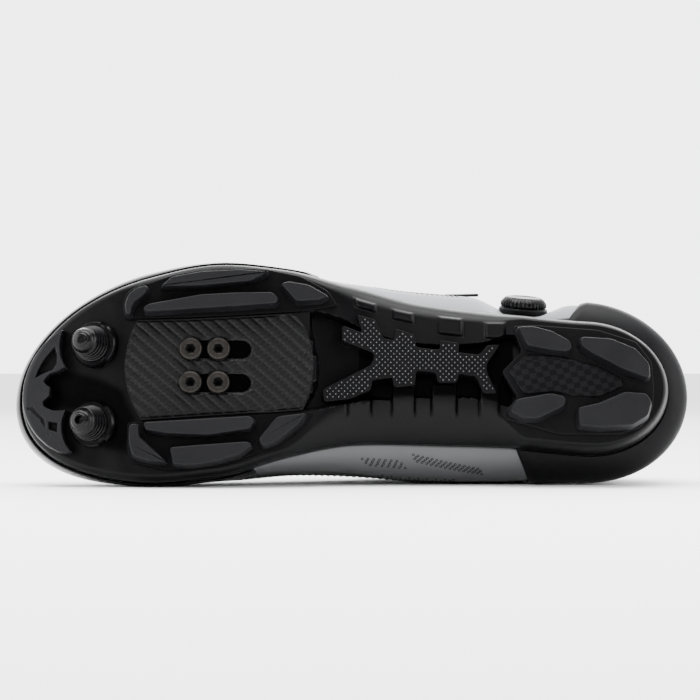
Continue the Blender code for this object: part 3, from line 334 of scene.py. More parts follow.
world = bpy.data.worlds.new("studio")
world.use_nodes = True
world_sky = world.node_tree.nodes["Background"]
world_sky.inputs["Color"].default_value = hex_colour("#ffffff")
direction = add(world.node_tree, "ShaderNodeTexCoord").outputs["Generated"]
sky_parts = add(world.node_tree, "ShaderNodeSeparateXYZ", {"Vector": direction})
sky_level = add(world.node_tree, "ShaderNodeMapRange",
                {"Value": sky_parts.outputs["Y"], "From Min": -0.5, "From Max": 0.5,
                 "To Min": SKY_FRONT, "To Max": SKY_BACK}, interpolation_type="SMOOTHSTEP")
world.node_tree.links.new(sky_level.outputs["Result"], world_sky.inputs["Strength"])
bpy.context.scene.world = world
print("soft lights:", len(SOFT_LIGHTS))

# %% [markdown]
# ## The tables of the last
# A last has no formula. Its centre line, widths and heights are short tables along the foot,
# and a smooth curve goes through each column. The curve's slope at a row is the harmonic mean
# of the slopes on both sides, so that it never swings past the rows.


# %% Tables
def table(rows):
    """Rows of one short table as an array."""
    return np.array(rows, float)


ball, waist, heel = SOLE_BALL_WIDTH, SOLE_WAIST_WIDTH, SOLE_HEEL_WIDTH
lap = OVERLAY + SEAT
PLAN = table([
    # along, centre, sole lateral, sole medial, upper
    (0.00, -0.055 * ball, 0.495 * heel, 0.505 * heel, 0.50 * HEEL_WIDTH - lap),
    (0.15, -0.034 * ball, 0.495 * heel, 0.505 * heel, 0.50 * HEEL_WIDTH - lap),
    (0.28, -0.018 * ball, 0.500 * waist, 0.440 * waist, 0.485 * WAIST_WIDTH),
    (0.40, 0.000 * ball, 0.550 * waist, 0.450 * waist, 0.500 * WAIST_WIDTH),
    (0.50, 0.028 * ball, 0.620 * waist, 0.500 * waist, 0.502 * WAIST_WIDTH),
    (0.60, 0.045 * ball, 0.465 * ball, 0.425 * ball, 0.470 * BALL_WIDTH - lap),
    (0.70, 0.034 * ball, 0.494 * ball, 0.506 * ball, 0.500 * BALL_WIDTH - lap),
    (0.80, 0.000 * ball, 0.482 * ball, 0.516 * ball, 0.500 * BALL_WIDTH - lap),
    (0.90, -0.040 * ball, 0.480 * ball, 0.506 * ball, 0.500 * BALL_WIDTH - lap),
    (1.00, -0.095 * ball, 0.475 * ball, 0.500 * ball, 0.500 * BALL_WIDTH - lap),
])
HEIGHTS = table([
    # along, feather, widest
    (0.00, 1.03 * HEEL_RISE, 1.34 * HEEL_RISE),
    (0.15, 1.00 * HEEL_RISE, 1.32 * HEEL_RISE),
    (0.28, 0.97 * WAIST_RISE, 1.42 * WAIST_RISE),
    (0.40, 1.00 * WAIST_RISE, 1.45 * WAIST_RISE),
    (0.50, 0.88 * WAIST_RISE, 1.28 * WAIST_RISE),
    (0.60, 1.20 * BALL_RISE, 1.85 * BALL_RISE),
    (0.70, 1.00 * BALL_RISE, 1.38 * BALL_RISE),
    (0.80, 1.03 * BALL_RISE, 1.42 * BALL_RISE),
    (0.90, 0.69 * TOE_RISE, 1.02 * TOE_RISE),
    (1.00, 1.00 * TOE_RISE, 1.30 * TOE_RISE),
])
OPENING = table([
    # turn, along, half, height
    (0.00, 0.045, 0.00 * COLLAR_WIDTH, 1.00 * COLLAR_HEIGHT),
    (0.10, 0.057, 0.19 * COLLAR_WIDTH, 0.985 * COLLAR_HEIGHT),
    (0.20, 0.103, 0.385 * COLLAR_WIDTH, 0.93 * COLLAR_HEIGHT),
    (0.30, 0.190, 0.490 * COLLAR_WIDTH, 0.86 * COLLAR_HEIGHT),
    (0.40, 0.295, 0.510 * COLLAR_WIDTH, 0.89 * COLLAR_HEIGHT),
    (0.50, 0.395, 0.430 * COLLAR_WIDTH, 1.00 * INSTEP_HEIGHT),
    (0.60, 0.475, 0.580 * THROAT_WIDTH, 0.90 * INSTEP_HEIGHT),
    (0.70, 0.550, 0.490 * THROAT_WIDTH, 0.78 * INSTEP_HEIGHT),
    (0.80, 0.610, 0.450 * THROAT_WIDTH, 1.08 * VAMP_HEIGHT),
    (0.90, 0.655, 0.330 * THROAT_WIDTH, 1.01 * VAMP_HEIGHT),
    (1.00, 0.675, 0.00 * THROAT_WIDTH, 1.00 * VAMP_HEIGHT),
])
FLAT = table([
    # along, lateral, medial share of the sole's half that lies flat
    (0.00, 0.88, 0.88),
    (0.24, 0.88, 0.88),
    (0.30, 0.76, 0.30),
    (0.38, 0.72, 0.12),
    (0.47, 0.72, 0.12),
    (0.53, 0.84, 0.50),
    (0.60, 0.93, 0.92),
    (1.00, 0.93, 0.93),
])
BASE = table([
    # along, height of the sole's lower face away from its walls
    (0.00, HEEL_BASE),
    (0.24, HEEL_BASE),
    (0.34, ARCH_BASE),
    (0.46, ARCH_BASE),
    (0.56, BALL_BASE),
    (1.00, BALL_BASE),
])


def flow(rows, column, along, level_ends=False):
    """Cubic through a column: slopes are the harmonic means of the chords on both sides."""
    xs, ys = rows[:, 0], rows[:, column]
    chord = np.diff(ys) / np.diff(xs)
    before, after = chord[:-1], chord[1:]
    same_way = before * after > 0
    total = np.where(same_way, before + after, 1.0)
    inner = np.where(same_way, 2 * before * after / total, 0.0)
    ends = (0.0, 0.0) if level_ends else (chord[0], chord[-1])
    slope = np.concatenate(([ends[0]], inner, [ends[1]]))
    left = np.clip(np.searchsorted(xs, along, side="right") - 1, 0, len(xs) - 2)
    step = xs[left + 1] - xs[left]
    t = (along - xs[left]) / step
    return (ys[left] * (1 + 2 * t) * (1 - t) ** 2 + ys[left + 1] * t * t * (3 - 2 * t)
            + step * (slope[left] * t * (1 - t) ** 2 - slope[left + 1] * t * t * (1 - t)))


def smooth(low, high, value):
    """0 below low, 1 above high, and the S-curve 3t² - 2t³ between them."""
    t = np.clip((np.asarray(value) - low) / (high - low), 0.0, 1.0)
    return t * t * (3 - 2 * t)


# %% Edge of the sole and face of the upper
DIP_TURN, DIP_WIDTH, DIP = 0.30, 0.12, 0.05 * COLLAR_HEIGHT    # the collar under the ankle
LEAN = 0.03 * COLLAR_WIDTH         # the opening stands this much toward the inner side
KNEE = 0.36                        # rise of the widest line, where two quarter curves meet
OVER_START, OVER_END = 0.36, 0.60  # the ribs turn over toward the throat between these turns
TANGENT_STEP = 0.002               # step in turn and rise that a tangent is measured over


def centre(along):
    """Centre line of the shoe seen from below."""
    return flow(PLAN, 1, along)


def end_round(along, back, front):
    """Share of the half width left at the ends: a circle at the heel, a fuller curve at the toe."""
    heel_share = np.clip((HEEL_ROUND - along) / (HEEL_ROUND - back), 0.0, 1.0)
    toe_share = np.clip((along - TOE_ROUND) / (front - TOE_ROUND), 0.0, 1.0)
    return np.sqrt(1 - heel_share ** 2) * (1 - toe_share ** 2.2) ** (1 / 2.1)


def along_of(turn, back, front):
    """Place along the shoe: turn 0 is the heel and 1 or -1 the toe, by a cosine."""
    return back + (front - back) * (1 - np.cos(math.pi * np.abs(turn))) / 2


def sole_half(along, lateral):
    """Half width of the sole to one side."""
    full = np.where(lateral, flow(PLAN, 2, along), flow(PLAN, 3, along))
    return full * end_round(along, SOLE_BACK, SOLE_FRONT)


def rim(turn):
    """Edge of the sole at the feather line: x, y and height."""
    along = along_of(turn, SOLE_BACK, SOLE_FRONT)
    lateral = turn > 0
    across = centre(along) + np.where(lateral, 1, -1) * sole_half(along, lateral)
    return LENGTH * along, across, flow(HEIGHTS, 1, along)


def upper_surface(turn, rise):
    """Face of the upper: out from the sole by a quarter arc, then over to the opening."""
    turn = (turn + 1) % 2 - 1
    side = np.where(turn > 0, 1.0, -1.0)
    foot_x, foot_y, foot_z = rim(turn)
    foot_z = foot_z + SEAT
    along = along_of(turn, 0.0, 1.0)
    wide_x = LENGTH * along
    wide_y = centre(along) + side * flow(PLAN, 4, along) * end_round(along, 0.0, 1.0)
    wide_z = flow(HEIGHTS, 2, along)
    away = np.abs(turn)
    open_along = flow(OPENING, 1, away, True)
    drop = DIP * np.exp(-((turn - DIP_TURN) / DIP_WIDTH) ** 2)
    lean = LEAN * smooth(0.2, 0.5, away) * (1 - smooth(0.85, 1.0, away))
    open_x = LENGTH * open_along
    open_y = centre(open_along) + side * flow(OPENING, 2, away) - lean
    open_z = flow(OPENING, 3, away, True) - drop
    over = smooth(OVER_START, OVER_END, away)
    low = np.clip(rise / KNEE, 0.0, 1.0)
    high = np.clip((rise - KNEE) / (1 - KNEE), 0.0, 1.0)
    swell = np.sin(low * math.pi / 2)
    lift = 0.55 * low + 0.45 * (1 - np.cos(low * math.pi / 2))
    bend = 1 - np.cos(high * math.pi / 2)
    inward = over * bend + (1 - over) * smooth(0.0, 1.0, high)
    climb = over * (0.72 * np.sin(high * math.pi / 2) + 0.28 * bend) + (1 - over) * high
    x = foot_x + (wide_x - foot_x) * swell + (open_x - wide_x) * inward
    y = foot_y + (wide_y - foot_y) * swell + (open_y - wide_y) * inward
    z = foot_z + (wide_z - foot_z) * lift + (open_z - wide_z) * climb
    reach = (((turn - DIAL_TURN) / DIAL_HOLLOW_TURN) ** 2
             + ((rise - DIAL_RISE) / DIAL_HOLLOW_RISE) ** 2)
    y = y - DIAL_HOLLOW * np.exp(-reach ** 2) * smooth(0.0, 0.10, rise)
    return np.stack(np.broadcast_arrays(x, y, z), axis=-1)


def upper_skin(turn, rise, offset=0.0):
    """The upper's face moved along its normal, which is the cross product of its two tangents."""
    turn, rise = np.broadcast_arrays(np.asarray(turn, float), np.asarray(rise, float))
    ahead = upper_surface(turn + TANGENT_STEP, rise) - upper_surface(turn - TANGENT_STEP, rise)
    top, bottom = (np.clip(rise + step, 0.0, 1.0) for step in (TANGENT_STEP, -TANGENT_STEP))
    upward = upper_surface(turn, top) - upper_surface(turn, bottom)
    return upper_surface(turn, rise) + unit(np.cross(upward, ahead)) * np.asarray(offset)[..., None]


# %% [markdown]
# ## Meshes from grids
# Each surface is a grid of points worked out at once as an array. A grid can be joined round
# on itself in either direction, as a tube or a ring is. One function turns a grid in the
# shoe's axes into a mesh in the room, and another writes a share on its points, which the
# finishes read.


# %% Grid to piece
def piece_from(name, points, faces, material, slot):
    """A piece from points in the shoe's axes and faces, moved to the room; it rides the root."""
    mesh = bpy.data.meshes.new(name)
    mesh.from_pydata(to_room(points), [], faces)
    mesh.polygons.foreach_set("use_smooth", np.ones(len(mesh.polygons), dtype=bool))
    mesh.materials.append(material)
    piece = bpy.data.objects.new(name, mesh)
    bpy.context.collection.objects.link(piece)
    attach(piece, "root")
    return piece


def grid_faces(rows, columns, close_rows=False, close_columns=False, first=0):
    """Quads of a grid whose point (i, j) has the number first + i * columns + j."""
    i = np.arange(rows if close_rows else rows - 1)[:, None]
    j = np.arange(columns if close_columns else columns - 1)[None, :]
    ahead, beside = (i + 1) % rows, (j + 1) % columns
    quads = np.stack(np.broadcast_arrays(i * columns + j, i * columns + beside,
                                         ahead * columns + beside, ahead * columns + j), axis=-1)
    return (quads.reshape(-1, 4) + first).tolist()


def grid_piece(name, grid, material, slot, close_rows=False):
    """A piece of one grid that is closed across its columns."""
    faces = grid_faces(*grid.shape[:2], close_rows=close_rows, close_columns=True)
    return piece_from(name, grid.reshape(-1, 3), faces, material, slot)


def outward(piece, merge=0.00001):
    """Merges points closer than a distance, if it isn't 0, and turns every face outward."""
    work = bmesh.new()
    work.from_mesh(piece.data)
    if merge:
        bmesh.ops.remove_doubles(work, verts=work.verts, dist=merge)
    bmesh.ops.recalc_face_normals(work, faces=work.faces)
    work.to_mesh(piece.data)
    work.free()
    return piece


def marked(piece, name, values):
    """Writes a share per point, such as painted shade in a hollow, and film: pressed film, which
    also carries painted shade on the upper's inner side.
    """
    attribute = piece.data.attributes.new(name, "FLOAT", "POINT")
    attribute.data.foreach_set("value", np.asarray(values, np.float32).ravel())
    return piece


def crisp(piece, degrees=32):
    """Marks edges sharper than an angle, so that flat faces stay flat in the light."""
    piece.data.set_sharp_from_angle(angle=math.radians(degrees))
    return piece

# %% [markdown]
# ## Finishes of the sole
# The sole shell is injection-moulded nylon: nearly black, with the soft shine of a fine spark
# texture. The treads are cast polyurethane, a shade greyer and duller. The plate is moulded
# to look like wound carbon cords under a dull skin. Little light comes out of a deep hollow,
# so shade is painted there: each of these finishes goes to a dull near-black by a painted
# shade share written on the mesh.


# %% Nylon, polyurethane and plate finishes
CLOUD_MM = 16.0
# The near-black colour of painted shade in deep hollows.
PAINTED_SHADE_BLACK = "#010101"


def hollows(tree, shader, colour, deep, shine=None, deep_shine=None):
    """Painted shade in hollows: colour goes to the deep one where the painted shade share is 1, and
    the shine to the deep shine.
    """
    painted_shade = add(tree, "ShaderNodeAttribute", attribute_name="painted_shade").outputs["Fac"]
    feed(tree, shader, {"Base Color": blend(tree, painted_shade, colour, deep)})
    if shine is not None:
        feed(tree, shader, {"Specular IOR Level": ranged(tree, painted_shade, shine, deep_shine)})


def moulded_black(name, dark, light, roughness, texture_mm, depth, shine=0.18):
    """Black moulded plastic: cloudy tone and roughness, a fine moulded texture, and painted shade
    in hollows.
    """
    made, tree, shader = finish(name, dark, roughness, Specular_IOR_Level=shine)
    place = object_place(tree)
    cloud = noise(tree, place, CLOUD_MM, 5.0, 0.6)
    hollows(tree, shader, blend(tree, cloud, dark, light), PAINTED_SHADE_BLACK, shine, 0.02)
    feed(tree, shader,
         {"Roughness": ranged(tree, cloud, roughness - 0.06, roughness + 0.10, 0.3, 0.75)})
    dented(tree, shader, noise(tree, place, texture_mm, 2.0), 0.35, depth)
    return made


# The shell: nearly black with a broad soft shine, so that its curves show but don't mirror.
NYLON = moulded_black("spark_textured_nylon", "#030304", "#060607", 0.33, 0.45, 0.00003, 0.085)
# The treads: a shade greyer and duller, so that the lugs stand out from the shell.
TREAD = moulded_black("cast_polyurethane_tread", "#08080a", "#101012", 0.48, 0.7, 0.00005, 0.13)
# Rand, studs, dial and guides: a tighter highlight, which draws their edges.
GLOSS = moulded_black("gloss_moulded_nylon", "#030304", "#060607", 0.24, 1.2, 0.00001, 0.13)
# The domes of the web: small bright points on a dark face.
DOTS = moulded_black("polished_nylon_dots", "#17171a", "#222226", 0.25, 1.2, 0.00001, 0.5)
# The counter and the dial's base: smooth pressed film with a satin, even black.
FILM = moulded_black("satin_heat_pressed_film", "#050506", "#09090b", 0.42, 0.5, 0.00002, 0.07)

# The cleat plate: dark cords with fine strands in them and a dull skin, with shade painted black in
# its slots.
PLATE_SHINE = 0.12
CARBON, carbon_tree, carbon_shader = finish("moulded_carbon_cloth_look", "#0b0b0c", 0.36,
                                            Specular_IOR_Level=PLATE_SHINE)
strands = noise(carbon_tree, object_place(carbon_tree), 0.8, 3.0)
hollows(carbon_tree, carbon_shader, blend(carbon_tree, strands, "#040405", "#0d0d0e"),
        PAINTED_SHADE_BLACK, PLATE_SHINE, 0.01)
dented(carbon_tree, carbon_shader, strands, 0.3, 0.00005)
print("finishes of the sole:", [made.name for made in (NYLON, TREAD, GLOSS, DOTS, FILM, CARBON)])

# %% [markdown]
# ## The sole shell
# One nylon shell runs under the whole foot: a flat floor, walls that turn up to the feather
# line, and a deep hollow under the arch. A grid of rays from a spine to the rim follows the
# outline everywhere, and each form on it, hollow or pad, is an outline whose inside distance
# lifts or sinks the grid with a soft edge.

# %% Rays of the sole
SPINE_RINGS = 96
WALL_RINGS = 40
FINE_STEP = 0.0006       # spacing of the rays in the arch
COARSE_STEP = 0.0014
SOLE_CUP = 0.45          # share of the sole's thickness that its footbed is sunk by


def spine(turn):
    """Inner end of each ray, on the centre line."""
    along = np.clip(along_of(turn, SOLE_BACK, SOLE_FRONT), SPINE_BACK, SPINE_FRONT)
    return LENGTH * along, centre(along)


def flat_share(turn):
    """Share of each ray that lies on the flat base."""
    along = along_of(turn, SOLE_BACK, SOLE_FRONT)
    return np.where(turn > 0, flow(FLAT, 1, along), flow(FLAT, 2, along))


def ray_points(turn, ring):
    """Plan place at a share of each ray: start plus share times the way to the rim."""
    start_x, start_y = spine(turn)
    edge_x, edge_y, _ = rim(turn)
    return start_x + ring * (edge_x - start_x), start_y + ring * (edge_y - start_y)


def toe_lift(along):
    """Rise of the toe: a parabola through the bend, then a straight slope."""
    bend = TOE_BEND_END - TOE_BEND_START
    t = np.clip(along - TOE_BEND_START, 0.0, None)
    return TOE_SLOPE * LENGTH * np.where(t < bend, t * t / (2 * bend), t - bend / 2)


def base_height(along):
    """Height of the sole's lower face away from its walls."""
    return flow(BASE, 1, along) + toe_lift(along)


def inside_distance(x, y, outline):
    """Distance to the nearest edge of a closed outline, positive inside and negative outside."""
    start = np.asarray(outline, float)
    edge = np.roll(start, -1, axis=0) - start
    gap = np.stack((x, y), axis=-1)[..., None, :] - start
    t = np.clip((gap * edge).sum(-1) / (edge ** 2).sum(-1), 0.0, 1.0)
    near = np.sqrt(((gap - t[..., None] * edge) ** 2).sum(-1).min(-1))
    start_y, end_y = start[:, 1], start[:, 1] + edge[:, 1]
    here = y[..., None]
    spans = (start_y > here) != (end_y > here)
    height = np.where(edge[:, 1] == 0, 1.0, edge[:, 1])
    cross = start[:, 0] + edge[:, 0] * (here - start_y) / height
    inside = (spans & (x[..., None] < cross)).sum(-1) % 2 == 1
    return np.where(inside, near, -near)


def plan_points(outline, width):
    """Outline in metres from shares of the length and of a width."""
    points = np.asarray(outline, float)
    return np.column_stack((points[:, 0] * LENGTH, points[:, 1] * width))


def corner_round(outline, radius, steps=5):
    """Outline with each corner replaced by a parabola that starts a radius before it."""
    here = np.asarray(outline, float)
    back, ahead = np.roll(here, 1, axis=0) - here, np.roll(here, -1, axis=0) - here
    back_long = np.linalg.norm(back, axis=1, keepdims=True)
    ahead_long = np.linalg.norm(ahead, axis=1, keepdims=True)
    first = here + back * np.minimum(radius / back_long, 0.45)
    last = here + ahead * np.minimum(radius / ahead_long, 0.45)
    t = np.linspace(0.0, 1.0, steps)[None, :, None]
    curve = first[:, None] * (1 - t) ** 2 + here[:, None] * 2 * t * (1 - t) + last[:, None] * t ** 2
    return curve.reshape(-1, 2)


# %% Forms on the sole
HOLLOW = ((0.262, 0.33), (0.300, 0.262), (0.36, 0.245), (0.42, 0.262), (0.47, 0.33),
          (0.515, 0.44), (0.562, 0.50), (0.560, 0.30), (0.549, 0.06), (0.556, -0.12),
          (0.575, -0.265), (0.535, -0.235), (0.48, -0.175), (0.40, -0.152), (0.32, -0.152),
          (0.262, -0.24), (0.225, -0.20), (0.240, 0.05), (0.220, 0.20))
LATERAL_PADS = ((0.496, 0.462, 0.0335, 0.0268, 0.006), (0.440, 0.407, 0.0292, 0.0222, 0.005),
                (0.373, 0.334, 0.0262, 0.0168, 0.003), (0.303, 0.271, 0.0232, 0.0155, 0.001))
MEDIAL_PADS = ((0.471, 0.505), (0.406, 0.440), (0.344, 0.381), (0.281, 0.310))
# TOE_SHADE outlines a patch at the toe that is painted darker, as shade.
TOE_SHADE = ((0.958, -0.010), (0.946, 0.021), (0.925, 0.042), (0.896, 0.015), (0.861, -0.024),
             (0.837, -0.072), (0.817, -0.208), (0.831, -0.373), (0.863, -0.357),
             (0.896, -0.165), (0.924, -0.156), (0.945, -0.152), (0.959, -0.129))
PAD_LIFT = 0.0016
MEDIAL_PAD_LIFT = 0.0007
GROOVE_DEPTH = 0.0008
GROOVE_WIDTH = 0.0006
MEDIAL_PAD_FADE = 0.013
HOLLOW_EDGE = 0.0014
CREST_SHARE = 0.152      # how far toward the medial side the arch's inner wall stands
PAD_SLANT = 0.4
KEPT_BACK, KEPT_FRONT = -0.012, -0.0035    # the medial pads' ends reach into the hollow here


def groove(x, y, back, front):
    """Share of the short grooves at both ends of a pad on the arch's inner wall."""
    off = np.minimum(np.abs(x / LENGTH - back), np.abs(front - x / LENGTH)) * LENGTH
    reach = -y - CREST_SHARE * ARCH_WIDTH
    return np.exp(-(off / GROOVE_WIDTH) ** 2) * smooth(0.009, 0.005, reach) * (y < -0.002)


def hollow_depth(x, y):
    """Distance into the hollow of the arch, negative outside it."""
    return inside_distance(x, y, corner_round(plan_points(HOLLOW, ARCH_WIDTH), 0.004))


def sole_face(turn, ring):
    """Lower face: base, then a quarter arc to the rim's band, then pads, grooves and hollow."""
    x, y = ray_points(turn, ring)
    along = x / LENGTH
    flat = flat_share(turn)
    out = np.clip((ring - flat) / (1 - flat), 0.0, 1.0)
    top = rim(turn)[2] - RIM_BAND
    base = base_height(along)
    z = base + (top - base) * (1 - np.sqrt(np.clip(1 - out ** 2, 0.0, 1.0)))
    for front, back, outer, inner, slant in LATERAL_PADS:
        corners = ((front * LENGTH, outer), (back * LENGTH, outer - slant * PAD_SLANT),
                   (back * LENGTH, inner), (front * LENGTH, inner + slant * PAD_SLANT))
        z = z - PAD_LIFT * smooth(-0.0002, 0.0012, inside_distance(x, y, corners))
    crest = y + CREST_SHARE * ARCH_WIDTH
    for back, front in MEDIAL_PADS:
        along_edge = np.minimum(along - back, front - along) * LENGTH
        raised = smooth(-0.0003, 0.0003, along_edge) * (1 - smooth(0.0, MEDIAL_PAD_FADE, -crest))
        z = z - MEDIAL_PAD_LIFT * raised * (y < 0) + GROOVE_DEPTH * groove(x, y, back, front)
    deep = hollow_depth(x, y)
    for back, front in MEDIAL_PADS[1:]:
        tongue_in = np.minimum((along - back) * LENGTH, (front - along) * LENGTH)
        kept = smooth(-0.0003, 0.0005, tongue_in) * (y < KEPT_FRONT) * (y > KEPT_BACK)
        deep = np.where(kept > 0.5, -0.001, deep)
    z = z + (HOLLOW_FLOOR - z) * smooth(0.0, HOLLOW_EDGE, deep)
    return np.stack((x, y, z), axis=-1)


def bed_ring(turn, share, reach=1.0, lift=0.0):
    """Ring of the footbed: the feather's height less the cup's depth, at a share of each ray."""
    x, y = ray_points(turn, reach * share)
    level = flow(HEIGHTS, 1, x / LENGTH)
    sunk = SOLE_CUP * (level - base_height(x / LENGTH)) * smooth(1.0, 0.70, share)
    return np.stack((x, y, level - sunk + lift), axis=-1)


END_RAYS = 26            # rays in each rounded end, closer together toward its tip
HEEL_END, TOE_END = 0.03, 0.035
RAY_SPANS = ((0.062, 0.245, COARSE_STEP), (0.245, 0.525, FINE_STEP), (0.527, 0.955, COARSE_STEP))
BAND_SHARES = (0.66, 0.33, 0.04)
FOOTBED_SHARES = (1.0, 0.97, 0.90, 0.80, 0.70, 0.35, 0.0)

half_alongs = np.concatenate(
    [np.linspace(0, 1, END_RAYS)[1:] ** 2 * HEEL_END + SOLE_BACK]
    + [np.arange(start, end, step / LENGTH) for start, end, step in RAY_SPANS]
    + [SOLE_FRONT - np.linspace(1, 0, END_RAYS)[:-1] ** 2 * TOE_END])
half_turns = np.arccos(1 - 2 * (half_alongs - SOLE_BACK) / (SOLE_FRONT - SOLE_BACK)) / math.pi
sole_turn = np.concatenate((-half_turns[::-1], [0.0], half_turns))
flat_here = flat_share(sole_turn)[None, :]
inner_rings = np.linspace(0.0, 1.0, SPINE_RINGS)[:, None] * flat_here
wall_share = np.sin(np.linspace(0, 1, WALL_RINGS + 1)[1:, None] * math.pi / 2)
outer_rings = flat_here + (1 - flat_here) * wall_share
rings = np.concatenate((inner_rings, outer_rings))
sole_grid = sole_face(np.broadcast_to(sole_turn, rings.shape), rings)
rim_x, rim_y, rim_z = rim(sole_turn)
band = np.stack([np.stack((rim_x, rim_y, rim_z - RIM_BAND * share), axis=-1)
                 for share in BAND_SHARES])
footbed = np.array([bed_ring(sole_turn, share) for share in FOOTBED_SHARES])
sole_all = np.concatenate((sole_grid, band, footbed))
sole_piece = grid_piece("sole_moulding", sole_all, NYLON, "sole")
face_x, face_y = sole_grid[..., 0], sole_grid[..., 1]
# Painted shade: the arch's hollow, the patch at the toe and the grooves at the medial pads' ends
# are coloured near-black, as shade.
shade = np.zeros(sole_all.shape[:2])
hollow_painted_shade = smooth(0.0, HOLLOW_EDGE, hollow_depth(face_x, face_y))
toe_share = smooth(-0.0015, 0.0020, inside_distance(face_x, face_y,
                                                    plan_points(TOE_SHADE, TREAD_WIDTH)))
groove_painted_shade = sum(groove(face_x, face_y, back, front) for back, front in MEDIAL_PADS)
shade[:len(sole_grid)] = np.clip(hollow_painted_shade + 0.9 * toe_share + groove_painted_shade, 0.0, 1.0)
crisp(outward(marked(sole_piece, "painted_shade", shade)), 40)
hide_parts("sole_shell")
print("sole shell: rings and points of each", sole_all.shape[:2])

# %% [markdown]
# ## Rounded blocks
# Lugs are cast in a mould: their walls lean a little, so that they come out of it, and their
# edges are rounded by the cutter that made the mould. So a block is an outline carried from
# its root to its face, where a quarter round turns it over. It is the same form for a tread
# pad, a lug, the web and the panel, only with other outlines and sizes.


# %% Outlines and blocks
def keep_on_flat(points, margin=0.02):
    """Corners past the flat part of the sole come in along their own ray from the spine."""
    turn = np.linspace(-1, 1, 1441)[:-1]
    edge_x, edge_y, _ = rim(turn)
    foot = np.clip(points[:, 0] / LENGTH, SPINE_BACK, SPINE_FRONT)
    start = np.column_stack((LENGTH * foot, centre(foot)))
    ray = points - start
    here = np.stack((edge_x, edge_y), axis=-1)[None] - start[:, None]
    reach = np.linalg.norm(here, axis=-1)
    length = np.maximum(np.linalg.norm(ray, axis=1), 1e-6)
    nearest = ((here * ray[:, None]).sum(-1) / reach).argmax(axis=1)
    limit = reach[np.arange(len(points)), nearest] * (flat_share(turn[nearest]) - margin)
    return start + ray * np.minimum(1.0, limit / length)[:, None]


def grow(outline, distance):
    """Outline moved outward: each corner along the mean of its two edge normals, mitred."""
    edge = np.roll(outline, -1, axis=0) - outline
    edge /= np.maximum(np.linalg.norm(edge, axis=1, keepdims=True), 1e-9)
    out = np.column_stack((edge[:, 1], -edge[:, 0]))
    mean = out + np.roll(out, 1, axis=0)
    size = np.maximum((mean ** 2).sum(axis=1, keepdims=True), 0.8)
    return outline + 2 * distance * mean / size


def counter_clockwise(outline):
    """Outline turned so that its signed area is positive."""
    x, y = outline.T
    area = (x * np.roll(y, -1) - y * np.roll(x, -1)).sum()
    return outline if area > 0 else outline[::-1]


def block_rings(outline, face, root, radius=0.0006, draft=0.0):
    """Rings of a block that points down: root, wall, quarter round and the edge of its face."""
    outline = counter_clockwise(np.asarray(outline, float))
    level = np.broadcast_to(np.asarray(face, float), len(outline))
    top = np.broadcast_to(np.asarray(root, float), len(outline))
    rings = [np.column_stack((grow(outline, draft * abs((top - level).mean())), top)),
             np.column_stack((outline, level + radius))]
    for angle in np.linspace(0, math.pi / 2, 5)[1:]:
        rings.append(np.column_stack((grow(outline, -radius * (1 - math.cos(angle))),
                                      level + radius * (1 - math.sin(angle)))))
    rings.append(np.column_stack((grow(outline, -1.15 * radius), level)))
    return np.array(rings)


def join_rings(shells):
    """Points and faces of several closed shells, each a stack of rings with a cap at both ends."""
    points, faces, first = [], [], 0
    for shell in shells:
        rows, columns = shell.shape[:2]
        points.append(shell.reshape(-1, 3))
        faces += grid_faces(rows, columns, close_columns=True, first=first)
        faces.append(list(range(first + columns - 1, first - 1, -1)))
        faces.append(list(range(first + (rows - 1) * columns, first + rows * columns)))
        first += rows * columns
    return np.concatenate(points), faces


FINE_MERGE = 0.0000005


def ring_piece(name, rings, material, slot):
    """A piece of one stack of rings, closed by a cap at both ends."""
    return piece_from(name, *join_rings([rings]), material, slot)


def make_blocks(name, shells, material, slot, degrees=30, painted_shades=None):
    """One piece of several blocks, its faces outward and its flat faces kept flat, with painted
    shade per block if given.
    """
    points, faces = join_rings(shells)
    piece = piece_from(name, points, faces, material, slot)
    if painted_shades is not None:
        sizes = [shell.shape[0] * shell.shape[1] for shell in shells]
        marked(piece, "painted_shade", np.repeat(painted_shades, sizes))
    return crisp(outward(piece, FINE_MERGE), degrees)


# %% [markdown]
# ## Treads
# Four polyurethane treads are bonded to the nylon: two beside the cleat plate, one under the
# heel and a crescent at the toe. Each of the first three is a pad whose lugs stand down to
# the ground. The outlines are in shares of the shoe's length and of the tread's width, taken
# from the photograph, which looks at them square on. The toe tread wraps round the toe, so it
# is a grid between two lines given in turn and ring, with its hollows cut into its face.

# %% Outlines of the treads
LATERAL_PAD = ((0.836, 0.27), (0.838, 0.345), (0.832, 0.40), (0.819, 0.43), (0.80, 0.447),
               (0.763, 0.488), (0.722, 0.51), (0.666, 0.52), (0.624, 0.513), (0.575, 0.48),
               (0.535, 0.41), (0.52, 0.335), (0.58, 0.306), (0.674, 0.287), (0.75, 0.275))
LATERAL_LUGS = (
    ((0.831, 0.28), (0.833, 0.335), (0.828, 0.38), (0.816, 0.409), (0.802, 0.423),
     (0.802, 0.387), (0.819, 0.342), (0.824, 0.316), (0.825, 0.28)),
    ((0.781, 0.416), (0.765, 0.464), (0.721, 0.49), (0.665, 0.50), (0.622, 0.49),
     (0.648, 0.445), (0.721, 0.421)),
    ((0.807, 0.311), (0.80, 0.33), (0.721, 0.378), (0.673, 0.387), (0.617, 0.39),
     (0.608, 0.36), (0.611, 0.335), (0.673, 0.32), (0.721, 0.31), (0.803, 0.292)),
    ((0.604, 0.43), (0.594, 0.442), (0.563, 0.425), (0.535, 0.373), (0.546, 0.352),
     (0.581, 0.345)),
)
MEDIAL_PAD = ((0.83, -0.232), (0.722, -0.208), (0.649, -0.193), (0.609, -0.188),
              (0.575, -0.178), (0.555, -0.178), (0.572, -0.26), (0.608, -0.342), (0.649, -0.395),
              (0.685, -0.431), (0.737, -0.457), (0.772, -0.462), (0.823, -0.424), (0.829, -0.356))
